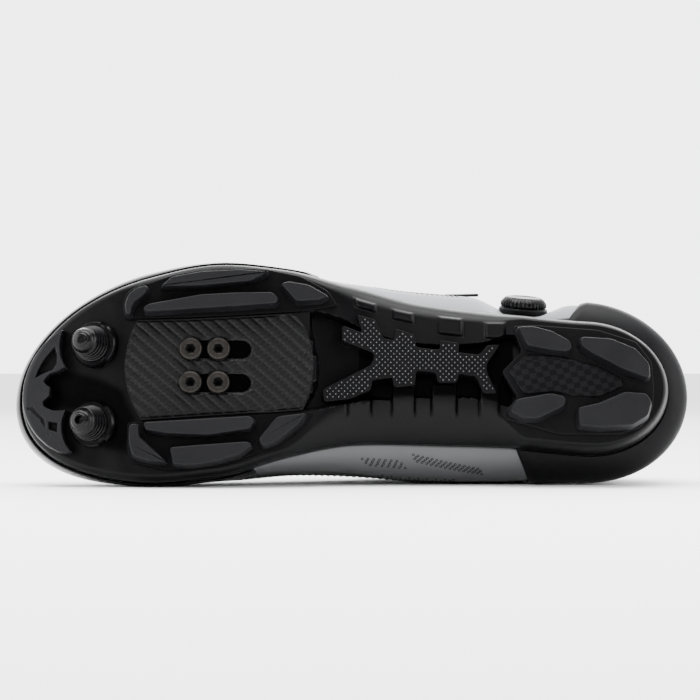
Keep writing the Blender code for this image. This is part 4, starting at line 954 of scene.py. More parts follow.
MEDIAL_LUGS = (
    ((0.804, -0.241), (0.649, -0.21), (0.641, -0.232), (0.648, -0.27), (0.709, -0.301),
     (0.769, -0.294), (0.801, -0.277)),
    ((0.825, -0.251), (0.812, -0.248), (0.811, -0.31), (0.77, -0.43), (0.794, -0.427),
     (0.819, -0.402), (0.825, -0.334)),
    ((0.765, -0.361), (0.721, -0.349), (0.652, -0.332), (0.645, -0.349), (0.663, -0.393),
     (0.699, -0.428), (0.736, -0.445), (0.76, -0.44)),
    ((0.635, -0.32), (0.608, -0.212), (0.566, -0.195), (0.575, -0.239), (0.61, -0.33),
     (0.63, -0.354)),
)
HEEL_PAD = ((0.262, 0.40), (0.23, 0.41), (0.135, 0.372), (0.079, 0.277), (0.056, 0.111),
            (0.053, -0.095), (0.056, -0.269), (0.073, -0.411), (0.105, -0.47), (0.193, -0.47),
            (0.272, -0.387), (0.278, -0.308), (0.255, -0.174), (0.278, 0.032), (0.248, 0.198))
HEEL_LUGS = (
    ((0.255, 0.37), (0.232, 0.374), (0.205, 0.335), (0.18, 0.26), (0.176, 0.197),
     (0.185, 0.17), (0.207, 0.185), (0.242, 0.221)),
    ((0.161, 0.291), (0.118, 0.276), (0.083, 0.197), (0.063, 0.079), (0.062, -0.023),
     (0.067, -0.035), (0.099, 0.028), (0.148, 0.166), (0.163, 0.221)),
    ((0.256, -0.208), (0.207, -0.161), (0.186, -0.189), (0.188, -0.259), (0.224, -0.355),
     (0.246, -0.362), (0.268, -0.303)),
    ((0.167, -0.275), (0.135, -0.236), (0.099, -0.149), (0.068, -0.161), (0.06, -0.228),
     (0.066, -0.338), (0.088, -0.41), (0.135, -0.43), (0.166, -0.414)),
)
HEEL_INLAY = ((0.268, 0.032), (0.242, 0.165), (0.20, 0.155), (0.17, 0.12), (0.135, 0.07),
              (0.10, -0.03), (0.10, -0.09), (0.135, -0.17), (0.17, -0.16), (0.20, -0.13),
              (0.245, -0.15))
TOE_INNER = ((0.844, 0.894), (0.867, 0.810), (0.899, 0.669), (0.921, 0.563), (0.938, 0.626),
             (0.947, 0.704), (0.969, 0.753), (0.982, 0.711), (0.989, 0.669), (1.012, 0.676),
             (1.024, 0.753), (1.035, 0.753), (1.057, 0.690), (1.082, 0.556), (1.104, 0.655),
             (1.129, 0.739), (1.154, 0.817), (1.171, 0.859), (1.176, 0.866))
TOE_OUTER = ((0.851, 0.922), (0.872, 0.965), (0.894, 0.985), (0.915, 0.990), (0.926, 0.990),
             (0.939, 0.990), (0.954, 0.990), (0.965, 0.990), (0.975, 0.990), (0.989, 0.990),
             (1.006, 0.988), (1.017, 0.986), (1.032, 0.982), (1.056, 0.972), (1.078, 0.965),
             (1.101, 0.958), (1.124, 0.951), (1.151, 0.937), (1.172, 0.894))
TOE_CUTS = (
    # outline in turn and ring, depth, width of its edge
    (((0.878, 0.831), (0.892, 0.746), (0.914, 0.690), (0.938, 0.700), (0.963, 0.866),
      (0.943, 0.866), (0.911, 0.852)), 0.0020, 1.2),
    (((1.079, 0.774), (1.100, 0.704), (1.122, 0.781), (1.099, 0.824)), 0.0018, 0.9),
    (((1.022, 0.872), (1.070, 0.792), (1.080, 0.812), (1.110, 0.862), (1.118, 0.845),
      (1.095, 0.842), (1.068, 0.845), (1.040, 0.905), (1.032, 0.945), (1.020, 0.940)),
     0.0009, 1.0),
)
PAD_CORNER = 0.0016
LUG_CORNER = 0.0013
LUG_DRAFT = 0.13          # lean of a lug's wall, sideways per height
LUG_EDGE = 0.0005
PAD_ROOT = 0.0009         # how far a pad or a lug is sunk into what carries it
LUG_ROOT = 0.0005
HEEL_SEAT_FRONT = 0.215


# %% Tread pieces
def tread_shells(pad, lugs, width, pad_face, base_at):
    """The pad and its lugs, each a block: pad from the sole, lugs from inside the pad to Z 0."""
    outline = corner_round(keep_on_flat(plan_points(pad, width), -0.05), PAD_CORNER)
    shells = [block_rings(outline, pad_face, base_at(outline[:, 0] / LENGTH) + PAD_ROOT, LUG_EDGE)]
    for lug in lugs:
        form = corner_round(keep_on_flat(plan_points(lug, width), 0.0), LUG_CORNER)
        shells.append(block_rings(form, 0.0, pad_face + LUG_ROOT, LUG_EDGE, LUG_DRAFT))
    return shells


# The pads between the lugs get painted shade, 0.75 of the way to near-black; the lugs get none.
for side, pad, lugs in (("lateral", LATERAL_PAD, LATERAL_LUGS),
                        ("medial", MEDIAL_PAD, MEDIAL_LUGS)):
    tread = make_blocks("forefoot_tread_" + side,
                        tread_shells(pad, lugs, TREAD_WIDTH, BALL_PAD_FACE, base_height),
                        TREAD, "tread", painted_shades=[0.75] + [0.0] * len(lugs))
    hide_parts("tread_" + side)


def heel_root(along):
    """Level that the heel's pad grows from: the hollow's floor ahead of the heel seat."""
    return np.where(along > HEEL_SEAT_FRONT, HOLLOW_FLOOR, base_height(along))


# The heel's pad gets painted shade, 0.55 of the way to near-black; its lugs get none.
heel_tread = make_blocks("heel_tread",
                         tread_shells(HEEL_PAD, HEEL_LUGS, HEEL_TREAD_WIDTH, HEEL_PAD_FACE,
                                      heel_root), TREAD, "tread",
                         painted_shades=[0.55] + [0.0] * len(HEEL_LUGS))
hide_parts("tread_heel")

TOE_ROWS = 260
TOE_COLUMNS = 46
TOE_EDGE = 0.0007
TURN_WEIGHT = 1.6         # a step in turn is this much longer than the same step in ring
CUT_SCALE = np.array((100, 60))    # about mm to one turn and to one ray, for the cuts' edges
TOE_SWEEP = 0.09          # metres from one end of the crescent to the other
TOE_ROOT = 0.0006

toe_inner, toe_outer = np.array(TOE_INNER), np.array(TOE_OUTER)
chords = np.hypot(np.diff(toe_inner[:, 0]) * TURN_WEIGHT, np.diff(toe_inner[:, 1]))
reached = np.concatenate(([0.0], np.cumsum(chords))) / chords.sum()
walk = np.linspace(0.0, 1.0, TOE_ROWS)
across_toe = np.linspace(0.0, 1.0, TOE_COLUMNS)[None, :]
toe_turn, toe_ring = [
    np.interp(walk, reached, toe_inner[:, k])[:, None] * (1 - across_toe)
    + np.interp(walk, reached, toe_outer[:, k])[:, None] * across_toe for k in (0, 1)]
toe_skin = sole_face((toe_turn + 1) % 2 - 1, np.minimum(toe_ring, 0.995))
edge_gap = np.minimum(across_toe, 1 - across_toe) * np.linalg.norm(
    toe_skin[:, -1] - toe_skin[:, 0], axis=-1)[:, None]
end_gap = np.minimum(walk, 1 - walk)[:, None] * TOE_SWEEP
near_edge = 1 - np.clip(np.minimum(edge_gap, end_gap) / TOE_EDGE, 0, 1)
rounded = np.sqrt(np.clip(1 - near_edge ** 2, 0, 1))
cut = np.zeros(toe_turn.shape)
for outline, depth, edge in TOE_CUTS:
    into_cut = inside_distance(toe_turn * CUT_SCALE[0], toe_ring * CUT_SCALE[1],
                               np.array(outline) * CUT_SCALE)
    cut = np.maximum(cut, depth * smooth(-0.05, edge, into_cut))
toe_height = TOE_TREAD_HEIGHT * rounded - cut * rounded
toe_face = toe_skin - toe_height[..., None] * np.array((0.0, 0.0, 1.0))
toe_face[..., 2] += 0.0002 * (1 - rounded)
toe_back = toe_skin[:, ::-1] + np.array((0.0, 0.0, TOE_ROOT))
toe_all = np.concatenate((toe_face, toe_back), axis=1)
toe_tread = ring_piece("toe_tread", toe_all, TREAD, "tread")
# Painted shade in the toe's cuts, darker as they deepen.
shade = np.zeros(toe_all.shape[:2])
shade[:, :TOE_COLUMNS] = np.clip(cut / 0.0018, 0, 0.8)
crisp(outward(marked(toe_tread, "painted_shade", shade), FINE_MERGE), 42)
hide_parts("tread_toe")
print("treads made, toe with", TOE_ROWS, "rows")

# %% [markdown]
# ## Cleat plate, bolts and studs
# The plate between the forefoot treads is moulded with slanting cords, as if wound, and has
# two slots in which the cleat's bolts slide. One height formula over a grid gives it all:
# rounded cords across their own direction, strands along it, and a drop to the base inside
# each slot. The bolts and the studs are turned shapes, so they are profiles carried round.

# %% Plate
RIB_ANGLE = math.radians(41)
RIB_PITCH = 0.0037
RIB_HEIGHT = 0.00055
RIB_TOP = 0.0004             # how far the valleys between the cords lie above the plate's face
STRAND_PITCH = 0.0021
STRAND_HEIGHT = 0.00012
STRAND_SHIFT = 0.45          # how far each cord's strands lean along it
PLATE_STEP = 0.0003
PLATE_COLUMNS = 190
PLATE_BACK = BALL_BASE + 0.0004

plate_x0, plate_y0 = LENGTH * PLATE_ALONG, TREAD_WIDTH * PLATE_ACROSS
SLOTS = [(plate_x0 + SLOT_SHIFT, plate_y0 + SLOT_PITCH / 2),
         (plate_x0 + SLOT_SHIFT, plate_y0 - SLOT_PITCH / 2)]
lateral_line = np.array(sorted(LATERAL_PAD[-4:] + LATERAL_PAD[:1])) * (LENGTH, TREAD_WIDTH)
medial_line = np.array(sorted(MEDIAL_PAD[:6])) * (LENGTH, TREAD_WIDTH)
plate_turn = np.linspace(-1, 1, int(2 * PLATE_RADIUS / PLATE_STEP))
plate_line = plate_x0 + PLATE_RADIUS * np.sin(plate_turn * math.pi / 2)
reach = np.sqrt(np.clip(PLATE_RADIUS ** 2 - (plate_line - plate_x0) ** 2, 0.0, None))
plate_high = np.minimum(plate_y0 + reach, np.interp(plate_line, *lateral_line.T) - 2 * SEAT)
plate_low = np.maximum(plate_y0 - reach, np.interp(plate_line, *medial_line.T) + 2 * SEAT)
plate_high = np.maximum(plate_high, plate_low)
plate_share = np.linspace(0.0, 1.0, PLATE_COLUMNS)[None, :]
plate_y = plate_low[:, None] * (1 - plate_share) + plate_high[:, None] * plate_share
plate_x = np.broadcast_to(plate_line[:, None], plate_y.shape)


def slot_inside(x, y):
    """Distance into the nearest slot: half its width less the distance to its middle line."""
    depth = np.full(x.shape, -1.0)
    for slot_x, slot_y in SLOTS:
        half = (SLOT_LENGTH - SLOT_WIDTH) / 2
        off = np.hypot(np.maximum(np.abs(x - slot_x) - half, 0.0), y - slot_y)
        depth = np.maximum(depth, SLOT_WIDTH / 2 - off)
    return depth


off_x, off_y = plate_x - plate_x0, plate_y - plate_y0
across = -off_x * math.sin(RIB_ANGLE) + off_y * math.cos(RIB_ANGLE)
along_rib = off_x * math.cos(RIB_ANGLE) + off_y * math.sin(RIB_ANGLE)
phase = across / RIB_PITCH
rib = np.sqrt(np.abs(np.cos(math.pi * phase)))
strand = np.abs(np.cos(math.pi * (along_rib / STRAND_PITCH + STRAND_SHIFT * (phase % 1.0))))
in_slot = slot_inside(plate_x, plate_y)
side_gap = np.minimum(plate_y - plate_low[:, None], plate_high[:, None] - plate_y)
shown = smooth(0.0004, 0.0012, np.minimum(side_gap, -in_slot))
plate_z = PLATE_FACE + RIB_TOP - (RIB_HEIGHT * rib + STRAND_HEIGHT * strand * rib) * shown
plate_z = plate_z + (BALL_BASE - 0.0002 - plate_z) * smooth(-0.0001, 0.0003, in_slot)
plate_face = np.stack((plate_x, plate_y, plate_z), axis=-1)
plate_back = plate_face[:, ::-1].copy()
plate_back[..., 2] = PLATE_BACK
plate_all = np.concatenate((plate_face, plate_back), axis=1)
plate = grid_piece("cleat_plate_face", plate_all, CARBON, "plate")
# Painted shade: the slots are coloured black, as shade.
plate_shade = np.zeros(plate_all.shape[:2])
plate_shade[:, :PLATE_COLUMNS] = smooth(-0.0002, 0.0003, in_slot)
crisp(outward(marked(plate, "painted_shade", plate_shade), FINE_MERGE), 50)
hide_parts("cleat_plate")
print("plate:", plate_all.shape[0], "by", plate_all.shape[1], "points")


# %% Turned pieces and bolts
def turned(profile, sides=64, wave=None):
    """Rings of a turned shape about Z: radius and height of each ring, closed at both ends."""
    profile = np.asarray(profile, float)
    angle = np.linspace(0, 2 * math.pi, sides, endpoint=False)
    radius = profile[:, :1] * (np.ones((1, sides)) if wave is None else wave)
    level = np.broadcast_to(profile[:, 1:2], radius.shape)
    return np.stack((radius * np.cos(angle), radius * np.sin(angle), level), axis=-1)


# The bolts: dull plated steel with brown stains, which breaks its reflections into patches, and
# shade painted black in the socket.
STEEL, steel_tree, steel_shader = finish("dull_plated_steel", "#2c2927", 0.42, Metallic=0.85)
stain = noise(steel_tree, object_place(steel_tree), 2.2, 6.0, 0.7)
hollows(steel_tree, steel_shader, blend(steel_tree, stain, "#0e0d0c", "#2b2825"), "#020202")
feed(steel_tree, steel_shader, {"Roughness": ranged(steel_tree, stain, 0.28, 0.55)})
dented(steel_tree, steel_shader, stain, 0.3, 0.00005)

BOLT_SIDES = 72
BOLT_SHANK = 0.0030
BOLT_RIM = 0.0009            # height of the straight side of the head
BOLT_TAPER = 0.30            # share of the radius lost toward the head's face
QUARTER_TURN = 1.57          # the head's side is a quarter arc
SOCKET_TURN = 0.4
SOCKET_RINGS = ((1.10, 0.0), (1.0, 0.00012), (0.98, 0.0004), (0.1, 0.0022))   # size and depth
bolt_top = PLATE_FACE - SEAT
bolt_low = bolt_top - BOLT_HEAD_HEIGHT
bolt_angle = np.linspace(0, 2 * math.pi, BOLT_SIDES, endpoint=False)
side_angle = (bolt_angle - SOCKET_TURN + math.pi / 6) % (math.pi / 3) - math.pi / 6
hexagon = math.cos(math.pi / 6) / np.cos(side_angle)
number = 0
for slot_x, slot_y in SLOTS:
    for step in (-0.5, 0.5):
        number += 1
        head = [(BOLT_SHANK, BALL_BASE), (BOLT_SHANK, bolt_top), (BOLT_HEAD_RADIUS, bolt_top)]
        for bend in np.linspace(0.0, 1.0, 9):
            fall = BOLT_RIM + (BOLT_HEAD_HEIGHT - BOLT_RIM) * math.sin(bend * QUARTER_TURN)
            head.append((BOLT_HEAD_RADIUS * (1 - BOLT_TAPER * bend ** 2), bolt_top - fall))
        socket = [turned([(BOLT_SOCKET / 2 * size, bolt_low + depth)], BOLT_SIDES, hexagon[None])[0]
                  for size, depth in SOCKET_RINGS]
        shape = np.concatenate((turned(head, BOLT_SIDES), np.array(socket)))
        shape += np.array((slot_x + BOLT_SHIFT + step * BOLT_PITCH, slot_y, 0.0))
        bolt = ring_piece("plate_bolt_%d" % number, shape, STEEL, "bolts")
        # Painted shade: the socket's two inner rings are coloured near-black, as shade.
        socket_painted_shade = np.zeros(shape.shape[:2])
        socket_painted_shade[-2:] = 1.0
        crisp(outward(marked(bolt, "painted_shade", socket_painted_shade), FINE_MERGE), 35)
        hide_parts("cleat_bolt_%d" % number)
print("bolts:", number)

# %% Studs
TOE_STUDS = (("lateral", 0.879, 0.155), ("medial", 0.880, -0.232))
STUD_SIDES = 96
STUD_RINGS = 5
NOTCH_DEPTH = 0.10
STUD_FOOT = ((0.20, 0.0002), (0.95, 0.0002), (1.0, -0.0006), (1.0, -0.0014), (0.96, -0.0022),
             (0.90, -STUD_COLLAR), (0.76, -STUD_COLLAR - 0.0001))
STUD_GROOVE = ((0.0, 0.0), (0.0, 0.08), (0.035, 0.095), (0.035, 0.120))
STUD_TIP = ((0.52, 0.74), (0.49, 0.82), (0.44, 0.88), (0.41, 0.885), (0.37, 0.92), (0.31, 0.955),
            (0.285, 0.957), (0.26, 0.98))
STUD_END = {   # radius as a share, and height over the tip: a drilled and a plain tip
    "medial": ((0.21, 0.0), (0.16, 0.0), (0.15, 0.004), (0.02, 0.0045)),
    "lateral": ((0.21, 0.0), (0.10, -0.0001), (0.02, 0.0)),
}
cone = STUD_HEIGHT - STUD_COLLAR
tilt = math.atan(TOE_SLOPE)
lean = np.array(((math.cos(tilt), 0.0, math.sin(tilt)), (0.0, 1.0, 0.0),
                 (-math.sin(tilt), 0.0, math.cos(tilt))))
notched = 1 - NOTCH_DEPTH * smooth(
    0.86, 0.96, np.cos(3 * np.linspace(0, 2 * math.pi, STUD_SIDES, endpoint=False)))
for side, along, across_share in TOE_STUDS:
    profile = [(wide * STUD_RADIUS, level) for wide, level in STUD_FOOT]
    for ring in range(STUD_RINGS):
        wide, start = 0.74 - 0.20 * ring / STUD_RINGS, 0.06 + 0.135 * ring
        profile += [((wide - narrow) * STUD_RADIUS, -STUD_COLLAR - cone * (start + level))
                    for narrow, level in STUD_GROOVE]
    profile += [(wide * STUD_RADIUS, -STUD_COLLAR - cone * level) for wide, level in STUD_TIP]
    profile += [(wide * STUD_RADIUS, -STUD_HEIGHT + level) for wide, level in STUD_END[side]]
    stud_rings = turned(profile, STUD_SIDES)
    stud_rings[2:6, :, :2] *= notched[None, :, None]
    foot = float(base_height(np.array(along)))
    shape = stud_rings @ lean + np.array((LENGTH * along, TREAD_WIDTH * across_share, foot))
    stud = make_blocks("toe_spike_" + side, [shape], GLOSS, "stud", 35)
    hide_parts("toe_stud_" + side)
print("studs made, tilted", round(math.degrees(tilt), 1), "degrees")

# %% [markdown]
# ## Web and heel panel
# A branched web stands in the hollow of the arch. Its face is covered with rows of small
# domes for grip, and the heel carries a thin panel printed with a woven chequer.

# %% Web with its domes
ARCH_WEB = ((0.514, 0.379), (0.484, 0.324), (0.492, 0.46), (0.464, 0.42), (0.453, 0.284),
            (0.436, 0.265), (0.435, 0.357), (0.406, 0.306), (0.404, 0.214), (0.369, 0.196),
            (0.369, 0.269), (0.34, 0.247), (0.342, 0.177), (0.311, 0.159), (0.299, 0.232),
            (0.28, 0.236), (0.299, 0.10), (0.30, 0.034), (0.285, -0.128), (0.305, -0.128),
            (0.315, -0.003), (0.341, 0.019), (0.344, -0.047), (0.372, -0.047), (0.375, 0.027),
            (0.404, 0.041), (0.406, -0.069), (0.437, -0.084), (0.439, -0.01), (0.469, -0.029),
            (0.471, -0.102), (0.503, -0.172), (0.54, -0.194), (0.543, -0.102), (0.472, 0.078),
            (0.466, 0.137), (0.468, 0.174), (0.514, 0.262))
DOME_PITCH = 0.0024
DOME_RADIUS = 0.00050
DOME_HEIGHT = 0.00038
DOME_MARGIN = 0.0008         # no dome stands closer to the web's edge
WEB_EDGE = 0.00022
WEB_DRAFT = 0.03

web_outline = corner_round(plan_points(ARCH_WEB, ARCH_WIDTH), 0.0012)
web_rings = block_rings(web_outline, WEB_FACE, HOLLOW_FLOOR + 0.0004, WEB_EDGE, WEB_DRAFT)
web = make_blocks("arch_web_face", [web_rings], NYLON, "sole")
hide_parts("arch_web")


def domes(name, xs, ys, level, radius, height, material, slot):
    """Small six-sided domes at plan places: a base ring, a ring at 0.7 of the height and a tip."""
    turn_six = np.linspace(0, 2 * math.pi, 6, endpoint=False)
    ring = np.stack((np.cos(turn_six), np.sin(turn_six), np.zeros(6)), axis=-1)
    low_ring = ring * radius + (0.0, 0.0, 0.0002)
    high_ring = ring * radius * 0.62 - (0.0, 0.0, height * 0.7)
    form = np.concatenate((low_ring, high_ring, [[0.0, 0.0, -height]]))    # 13 points
    places = np.stack((xs, ys, np.broadcast_to(level, len(xs))), axis=-1)
    points = (places[:, None] + form[None]).reshape(-1, 3)
    one = np.arange(6)
    after = (one + 1) % 6
    quads = np.stack((one, after, after + 6, one + 6), axis=-1)
    tips = np.stack((one + 6, after + 6, np.full(6, 12)), axis=-1)
    shift = np.arange(len(xs))[:, None, None] * 13
    faces = ((quads[None] + shift).reshape(-1, 4).tolist()
             + (tips[None] + shift).reshape(-1, 3).tolist()
             + (one[::-1][None] + shift[:, 0]).tolist())
    return piece_from(name, points, faces, material, slot)


lattice_x, lattice_y = np.meshgrid(np.arange(0.27 * LENGTH, 0.55 * LENGTH, DOME_PITCH / 2),
                                   np.arange(-0.016, 0.030, DOME_PITCH))
lattice_y = lattice_y + DOME_PITCH / 2 * (np.arange(lattice_x.shape[1]) % 2)[None]
on_web = inside_distance(lattice_x, lattice_y, web_outline) > DOME_MARGIN
web_domes = domes("web_domes", lattice_x[on_web], lattice_y[on_web], WEB_FACE,
                  DOME_RADIUS, DOME_HEIGHT, DOTS, "sole")
print("domes on the web:", int(on_web.sum()))

# %% Heel panel
# A printed chequer under lacquer: squares that differ just enough to show, and a fine twill.
WEAVE_PANEL, weave_tree, weave_shader = finish("printed_weave_under_lacquer", "#0c0c0d", 0.32,
                                               Specular_IOR_Level=0.08)
WAVE_BANDS = 6.28            # the wave texture draws about 2 pi bands over one unit
weave_place = object_place(weave_tree, (1.0, 1.0, 1.25), math.radians(12))
weave = add(weave_tree, "ShaderNodeTexChecker",
            {"Vector": weave_place, "Scale": per_mm(2.8), "Color1": "#040405", "Color2": "#0f0f11"})
feed(weave_tree, weave_shader, {"Base Color": weave.outputs["Color"]})
twill = add(weave_tree, "ShaderNodeTexWave",
            {"Vector": weave_place, "Scale": per_mm(0.9) / WAVE_BANDS, "Distortion": 0.0},
            bands_direction="DIAGONAL")
dented(weave_tree, weave_shader, twill.outputs["Fac"], 0.25, 0.00005)
PANEL_RAISED = 0.0011
panel_outline = corner_round(plan_points(HEEL_INLAY, HEEL_TREAD_WIDTH), 0.0012)
panel_rings = block_rings(panel_outline, HEEL_PAD_FACE - PANEL_RAISED, HEEL_PAD_FACE + 0.0003,
                          0.0003)
panel = make_blocks("heel_weave_panel", [panel_rings], WEAVE_PANEL, "plate")
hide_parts("heel_panel")
print("heel panel made")

# %% [markdown]
# ## Finishes of the upper
# The body of the upper is silver-grey microfibre: a matt coated cloth with a fine grain. Black
# film is pressed over its lower edge, and the rand and the counter are thicker moulded film.
# The inside of the collar and the tongue are black open mesh over foam.


# %% Microfibre, mesh, foam and lace
def cloth(name, dark, light, roughness, thread_mm, depth, sheen=0.0):
    """Matt cloth: cloudy colour, and cells of one thread's size as a bump."""
    made, tree, shader = finish(name, dark, roughness, Sheen_Weight=sheen,
                                Specular_IOR_Level=0.2)
    place = object_place(tree)
    feed(tree, shader, {"Base Color": blend(tree, noise(tree, place, 24.0, 6.0, 0.6), dark, light)})
    cells = add(tree, "ShaderNodeTexVoronoi", {"Vector": place, "Scale": per_mm(thread_mm)})
    dented(tree, shader, cells.outputs["Distance"], 0.5, depth)
    return made


def two_tone(name, silver, pale, film, silver_rough=0.55, film_rough=0.34):
    """Cloudy microfibre that the film attribute turns black and smoother: pressed black film, and
    painted shade on the inner side.
    """
    made, tree, shader = finish(name, silver, silver_rough, Specular_IOR_Level=0.25)
    place = object_place(tree)
    body = blend(tree, noise(tree, place, 30.0, 6.0, 0.6), silver, pale)
    film_and_shade_share = add(tree, "ShaderNodeAttribute", attribute_name="film").outputs["Fac"]
    feed(tree, shader, {"Base Color": blend(tree, film_and_shade_share, body, film),
                        "Roughness": ranged(tree, film_and_shade_share, silver_rough, film_rough)})
    dented(tree, shader, noise(tree, place, 0.7, 3.0), 0.35, 0.00006)
    return made


# The body: even silver grey with a fine grain, turned black and smoother under the film and where
# shade is painted on the inner side.
MICROFIBRE = two_tone("coated_microfibre", "#77797c", "#85878a", "#050506")
# Tongue: large open cells that swallow the light.
MESH = cloth("open_mesh_over_foam", "#08080a", "#0f0f11", 0.85, 1.3, 0.0002, 0.05)
# Collar: a softer, finer black than the mesh.
LINING = cloth("brushed_lining", "#0b0b0d", "#131316", 0.9, 0.8, 0.0001, 0.05)
# Insole: a greyer cloth with a slight bloom at its edges.
BOARD = cloth("insole_cloth", "#25262a", "#33343a", 0.9, 0.9, 0.0001, 0.2)
# Lace: a tight braid, matt black.
CORD = cloth("braided_lace_cord", "#08080a", "#101012", 0.7, 0.5, 0.0001)
# Pinholes: no light comes back from them.
PIN = moulded_black("pinhole_shadow", "#020202", "#040404", 0.9, 0.5, 0.00001)
# Threads: black on the collar, pale grey where they must show on the black stay.
THREAD = cloth("polyester_thread", "#0d0d0f", "#17171a", 0.6, 0.4, 0.00005)
GREY_THREAD = cloth("grey_polyester_thread", "#8d9194", "#a3a7aa", 0.6, 0.4, 0.00005)
print("finishes of the upper:", MICROFIBRE.name, MESH.name, LINING.name, BOARD.name, CORD.name)

# %% [markdown]
# ## The upper
# The upper is drawn as ribs: each leaves the sole's edge, swells to the widest line and closes
# over to the collar or the throat. The same two-parameter face gives the outside, the inside,
# the overlays and every seam. Panel edges are small steps along the normal, and the creases
# where the toes bend are soft troughs across the vamp.

# %% Relief of the upper
COUNTER_BACK_TOP = 0.72
COUNTER_END_LATERAL = 0.27
COUNTER_END_MEDIAL = 0.33
RAND_TOP_TOE = 0.50
RAND_END_LATERAL = 0.52
RAND_END_MEDIAL = 0.58
RAND_BAND = 0.20         # rise of the rand away from the toe
COUNTER_FALL = 0.30      # how much lower the counter is at its two ends
STAY_EDGE = 0.80         # rise of the lower edge of the lace stay
STAY_STEP = 0.0005
WING_START = 0.44        # turn from which the side panel's edge falls, and its fall per turn
WING_SLOPE = 1.3
FILM_LOW, FILM_HIGH = 0.012, 0.10    # rise of the lower film, and what the heel adds to it
STAY_BACK, STAY_FRONT = 0.40, 0.46    # the stay comes in between these turns
LINING_EDGE = 0.93       # rise from which the collar's edge is black, and where its fold is
PANEL_STEP = 0.0004
COLLAR_FOLD = 0.0007
CREASES = (
    # along, depth, width
    (0.735, 0.0009, 0.020),
    (0.775, 0.0012, 0.016),
    (0.815, 0.0008, 0.014),
)
CREASE_BOW = 0.03        # how far a crease curves toward the toe at the sides


def stay_line(away):
    """Lower edge of the lace stay: high at the collar, low around the front of the throat."""
    return STAY_EDGE - 0.14 * smooth(0.78, 1.0, away) + 0.10 * smooth(0.52, 0.44, away)


def film_line(turn):
    """Upper edge of the pressed black film on the upper, low along the waist."""
    away = np.abs(turn)
    return FILM_LOW + FILM_HIGH * smooth(0.30, 0.22, away)


def upper_relief(turn, rise):
    """Height added to the face: stay step, collar roll, side panel step and vamp creases."""
    away = np.abs(turn)
    over_stay = smooth(-0.004, 0.004, rise - stay_line(away))
    stay = STAY_STEP * over_stay * smooth(STAY_BACK, STAY_FRONT, away)
    wing = rise - (0.62 - WING_SLOPE * (away - WING_START))
    side_panel = PANEL_STEP * smooth(-0.006, 0.006, wing) * smooth(0.40, 0.47, away)
    point = upper_surface(turn, rise)
    along, crease = point[..., 0] / LENGTH, 0.0
    for place, depth, width in CREASES:
        bow = place + CREASE_BOW * ((point[..., 1] / LENGTH) * 6) ** 2
        spread = np.exp(-((along - bow) * LENGTH / (width * 0.22)) ** 2)
        crease = crease - depth * spread * smooth(0.50, 0.85, rise) * smooth(0.62, 0.75, away)
    fold = COLLAR_FOLD * np.exp(-((rise - LINING_EDGE) / 0.035) ** 2) * smooth(0.52, 0.44, away)
    return stay + side_panel + crease + fold


# %% The upper's shell
UPPER_COLUMNS = 560
OUTER_ROWS = 136
INNER_ROWS = 24

upper_turn = np.linspace(-1.0, 1.0, UPPER_COLUMNS, endpoint=False)[None, :]
outer_rise = np.linspace(0.0, 1.0, OUTER_ROWS)[:, None]
relief = upper_relief(*np.broadcast_arrays(upper_turn, outer_rise))
relief = relief * smooth(0.0, 0.03, outer_rise) * smooth(1.0, 0.985, outer_rise)
outer = upper_skin(upper_turn, outer_rise, relief)
lip = upper_skin(upper_turn, 1.0, 0.0)
lip_in = upper_skin(upper_turn, 1.0, -WALL)
along_lip = unit(upper_surface(upper_turn, 1.0) - upper_surface(upper_turn, 0.99))
roll = [(lip + lip_in) / 2 + (lip - lip_in) / 2 * math.cos(a)
        + along_lip * WALL / 2 * math.sin(a) for a in np.linspace(0, math.pi, 7)[1:-1]]
inner_rise = np.linspace(1.0, 0.0, INNER_ROWS)[:, None]
inner = upper_skin(upper_turn, inner_rise, -WALL)
inner[-1, :, :2] = outer[0][:, :2] + unit((inner[-1] - outer[0])[:, :2]) * WALL
inner[-1, :, 2] = outer[0][:, 2]
shell = np.concatenate([outer] + [r.reshape(1, -1, 3) for r in roll] + [inner])
upper = grid_piece("upper_shell", shell, MICROFIBRE, "upper", close_rows=True)
# Black film covers the lower edge, the stay and the collar's edge. The inner side, from the heel to
# the ball, is painted mostly black as shade through the same share, darkest where it turns to face
# the floor.
turns_all, rise_all = np.broadcast_arrays(upper_turn, outer_rise)
away_all = np.abs(turns_all)
low_film = smooth(0.010, -0.010, rise_all - film_line(turns_all))
stay_film = (smooth(-0.006, 0.006, rise_all - stay_line(away_all))
             * smooth(STAY_BACK, STAY_FRONT, away_all))
# Painted shade on the inner side: at least 0.62 of the way to black, fully black where the upper
# turns to face the floor.
inner_shade_fade = 0.30 * smooth(0.02, 0.20, rise_all) + 0.70 * smooth(0.30, 0.46, rise_all)
inner_painted_shade = (0.62 + 0.38 * inner_shade_fade) * (turns_all < 0) * smooth(0.70, 0.62, away_all)
edge_film = smooth(LINING_EDGE, LINING_EDGE + 0.01, rise_all) * smooth(0.50, 0.46, away_all)
film_and_shade_all = np.ones(shell.shape[:2])
film_and_shade_all[:OUTER_ROWS] = np.maximum.reduce([low_film, stay_film, inner_painted_shade, edge_film])
outward(marked(upper, "film", film_and_shade_all), 0)
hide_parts("upper")
print("upper:", shell.shape[0], "by", shell.shape[1], "points")


# %% Overlays
def counter_top(turn):
    """Upper edge of the counter: high at the back, falling to its two ends."""
    end = np.where(turn > 0, COUNTER_END_LATERAL, COUNTER_END_MEDIAL)
    return COUNTER_BACK_TOP - COUNTER_FALL * (np.abs(turn) / end) ** 2


def rand_top(turn):
    """Upper edge of the rand: a low band, higher over the toe."""
    turn = (turn + 1) % 2 - 1
    end = np.where(turn > 0, RAND_END_LATERAL, RAND_END_MEDIAL)
    way = (np.abs(turn) - end) / (1 - end)
    return RAND_BAND + (RAND_TOP_TOE - RAND_BAND) * smooth(0.0, 0.9, way)


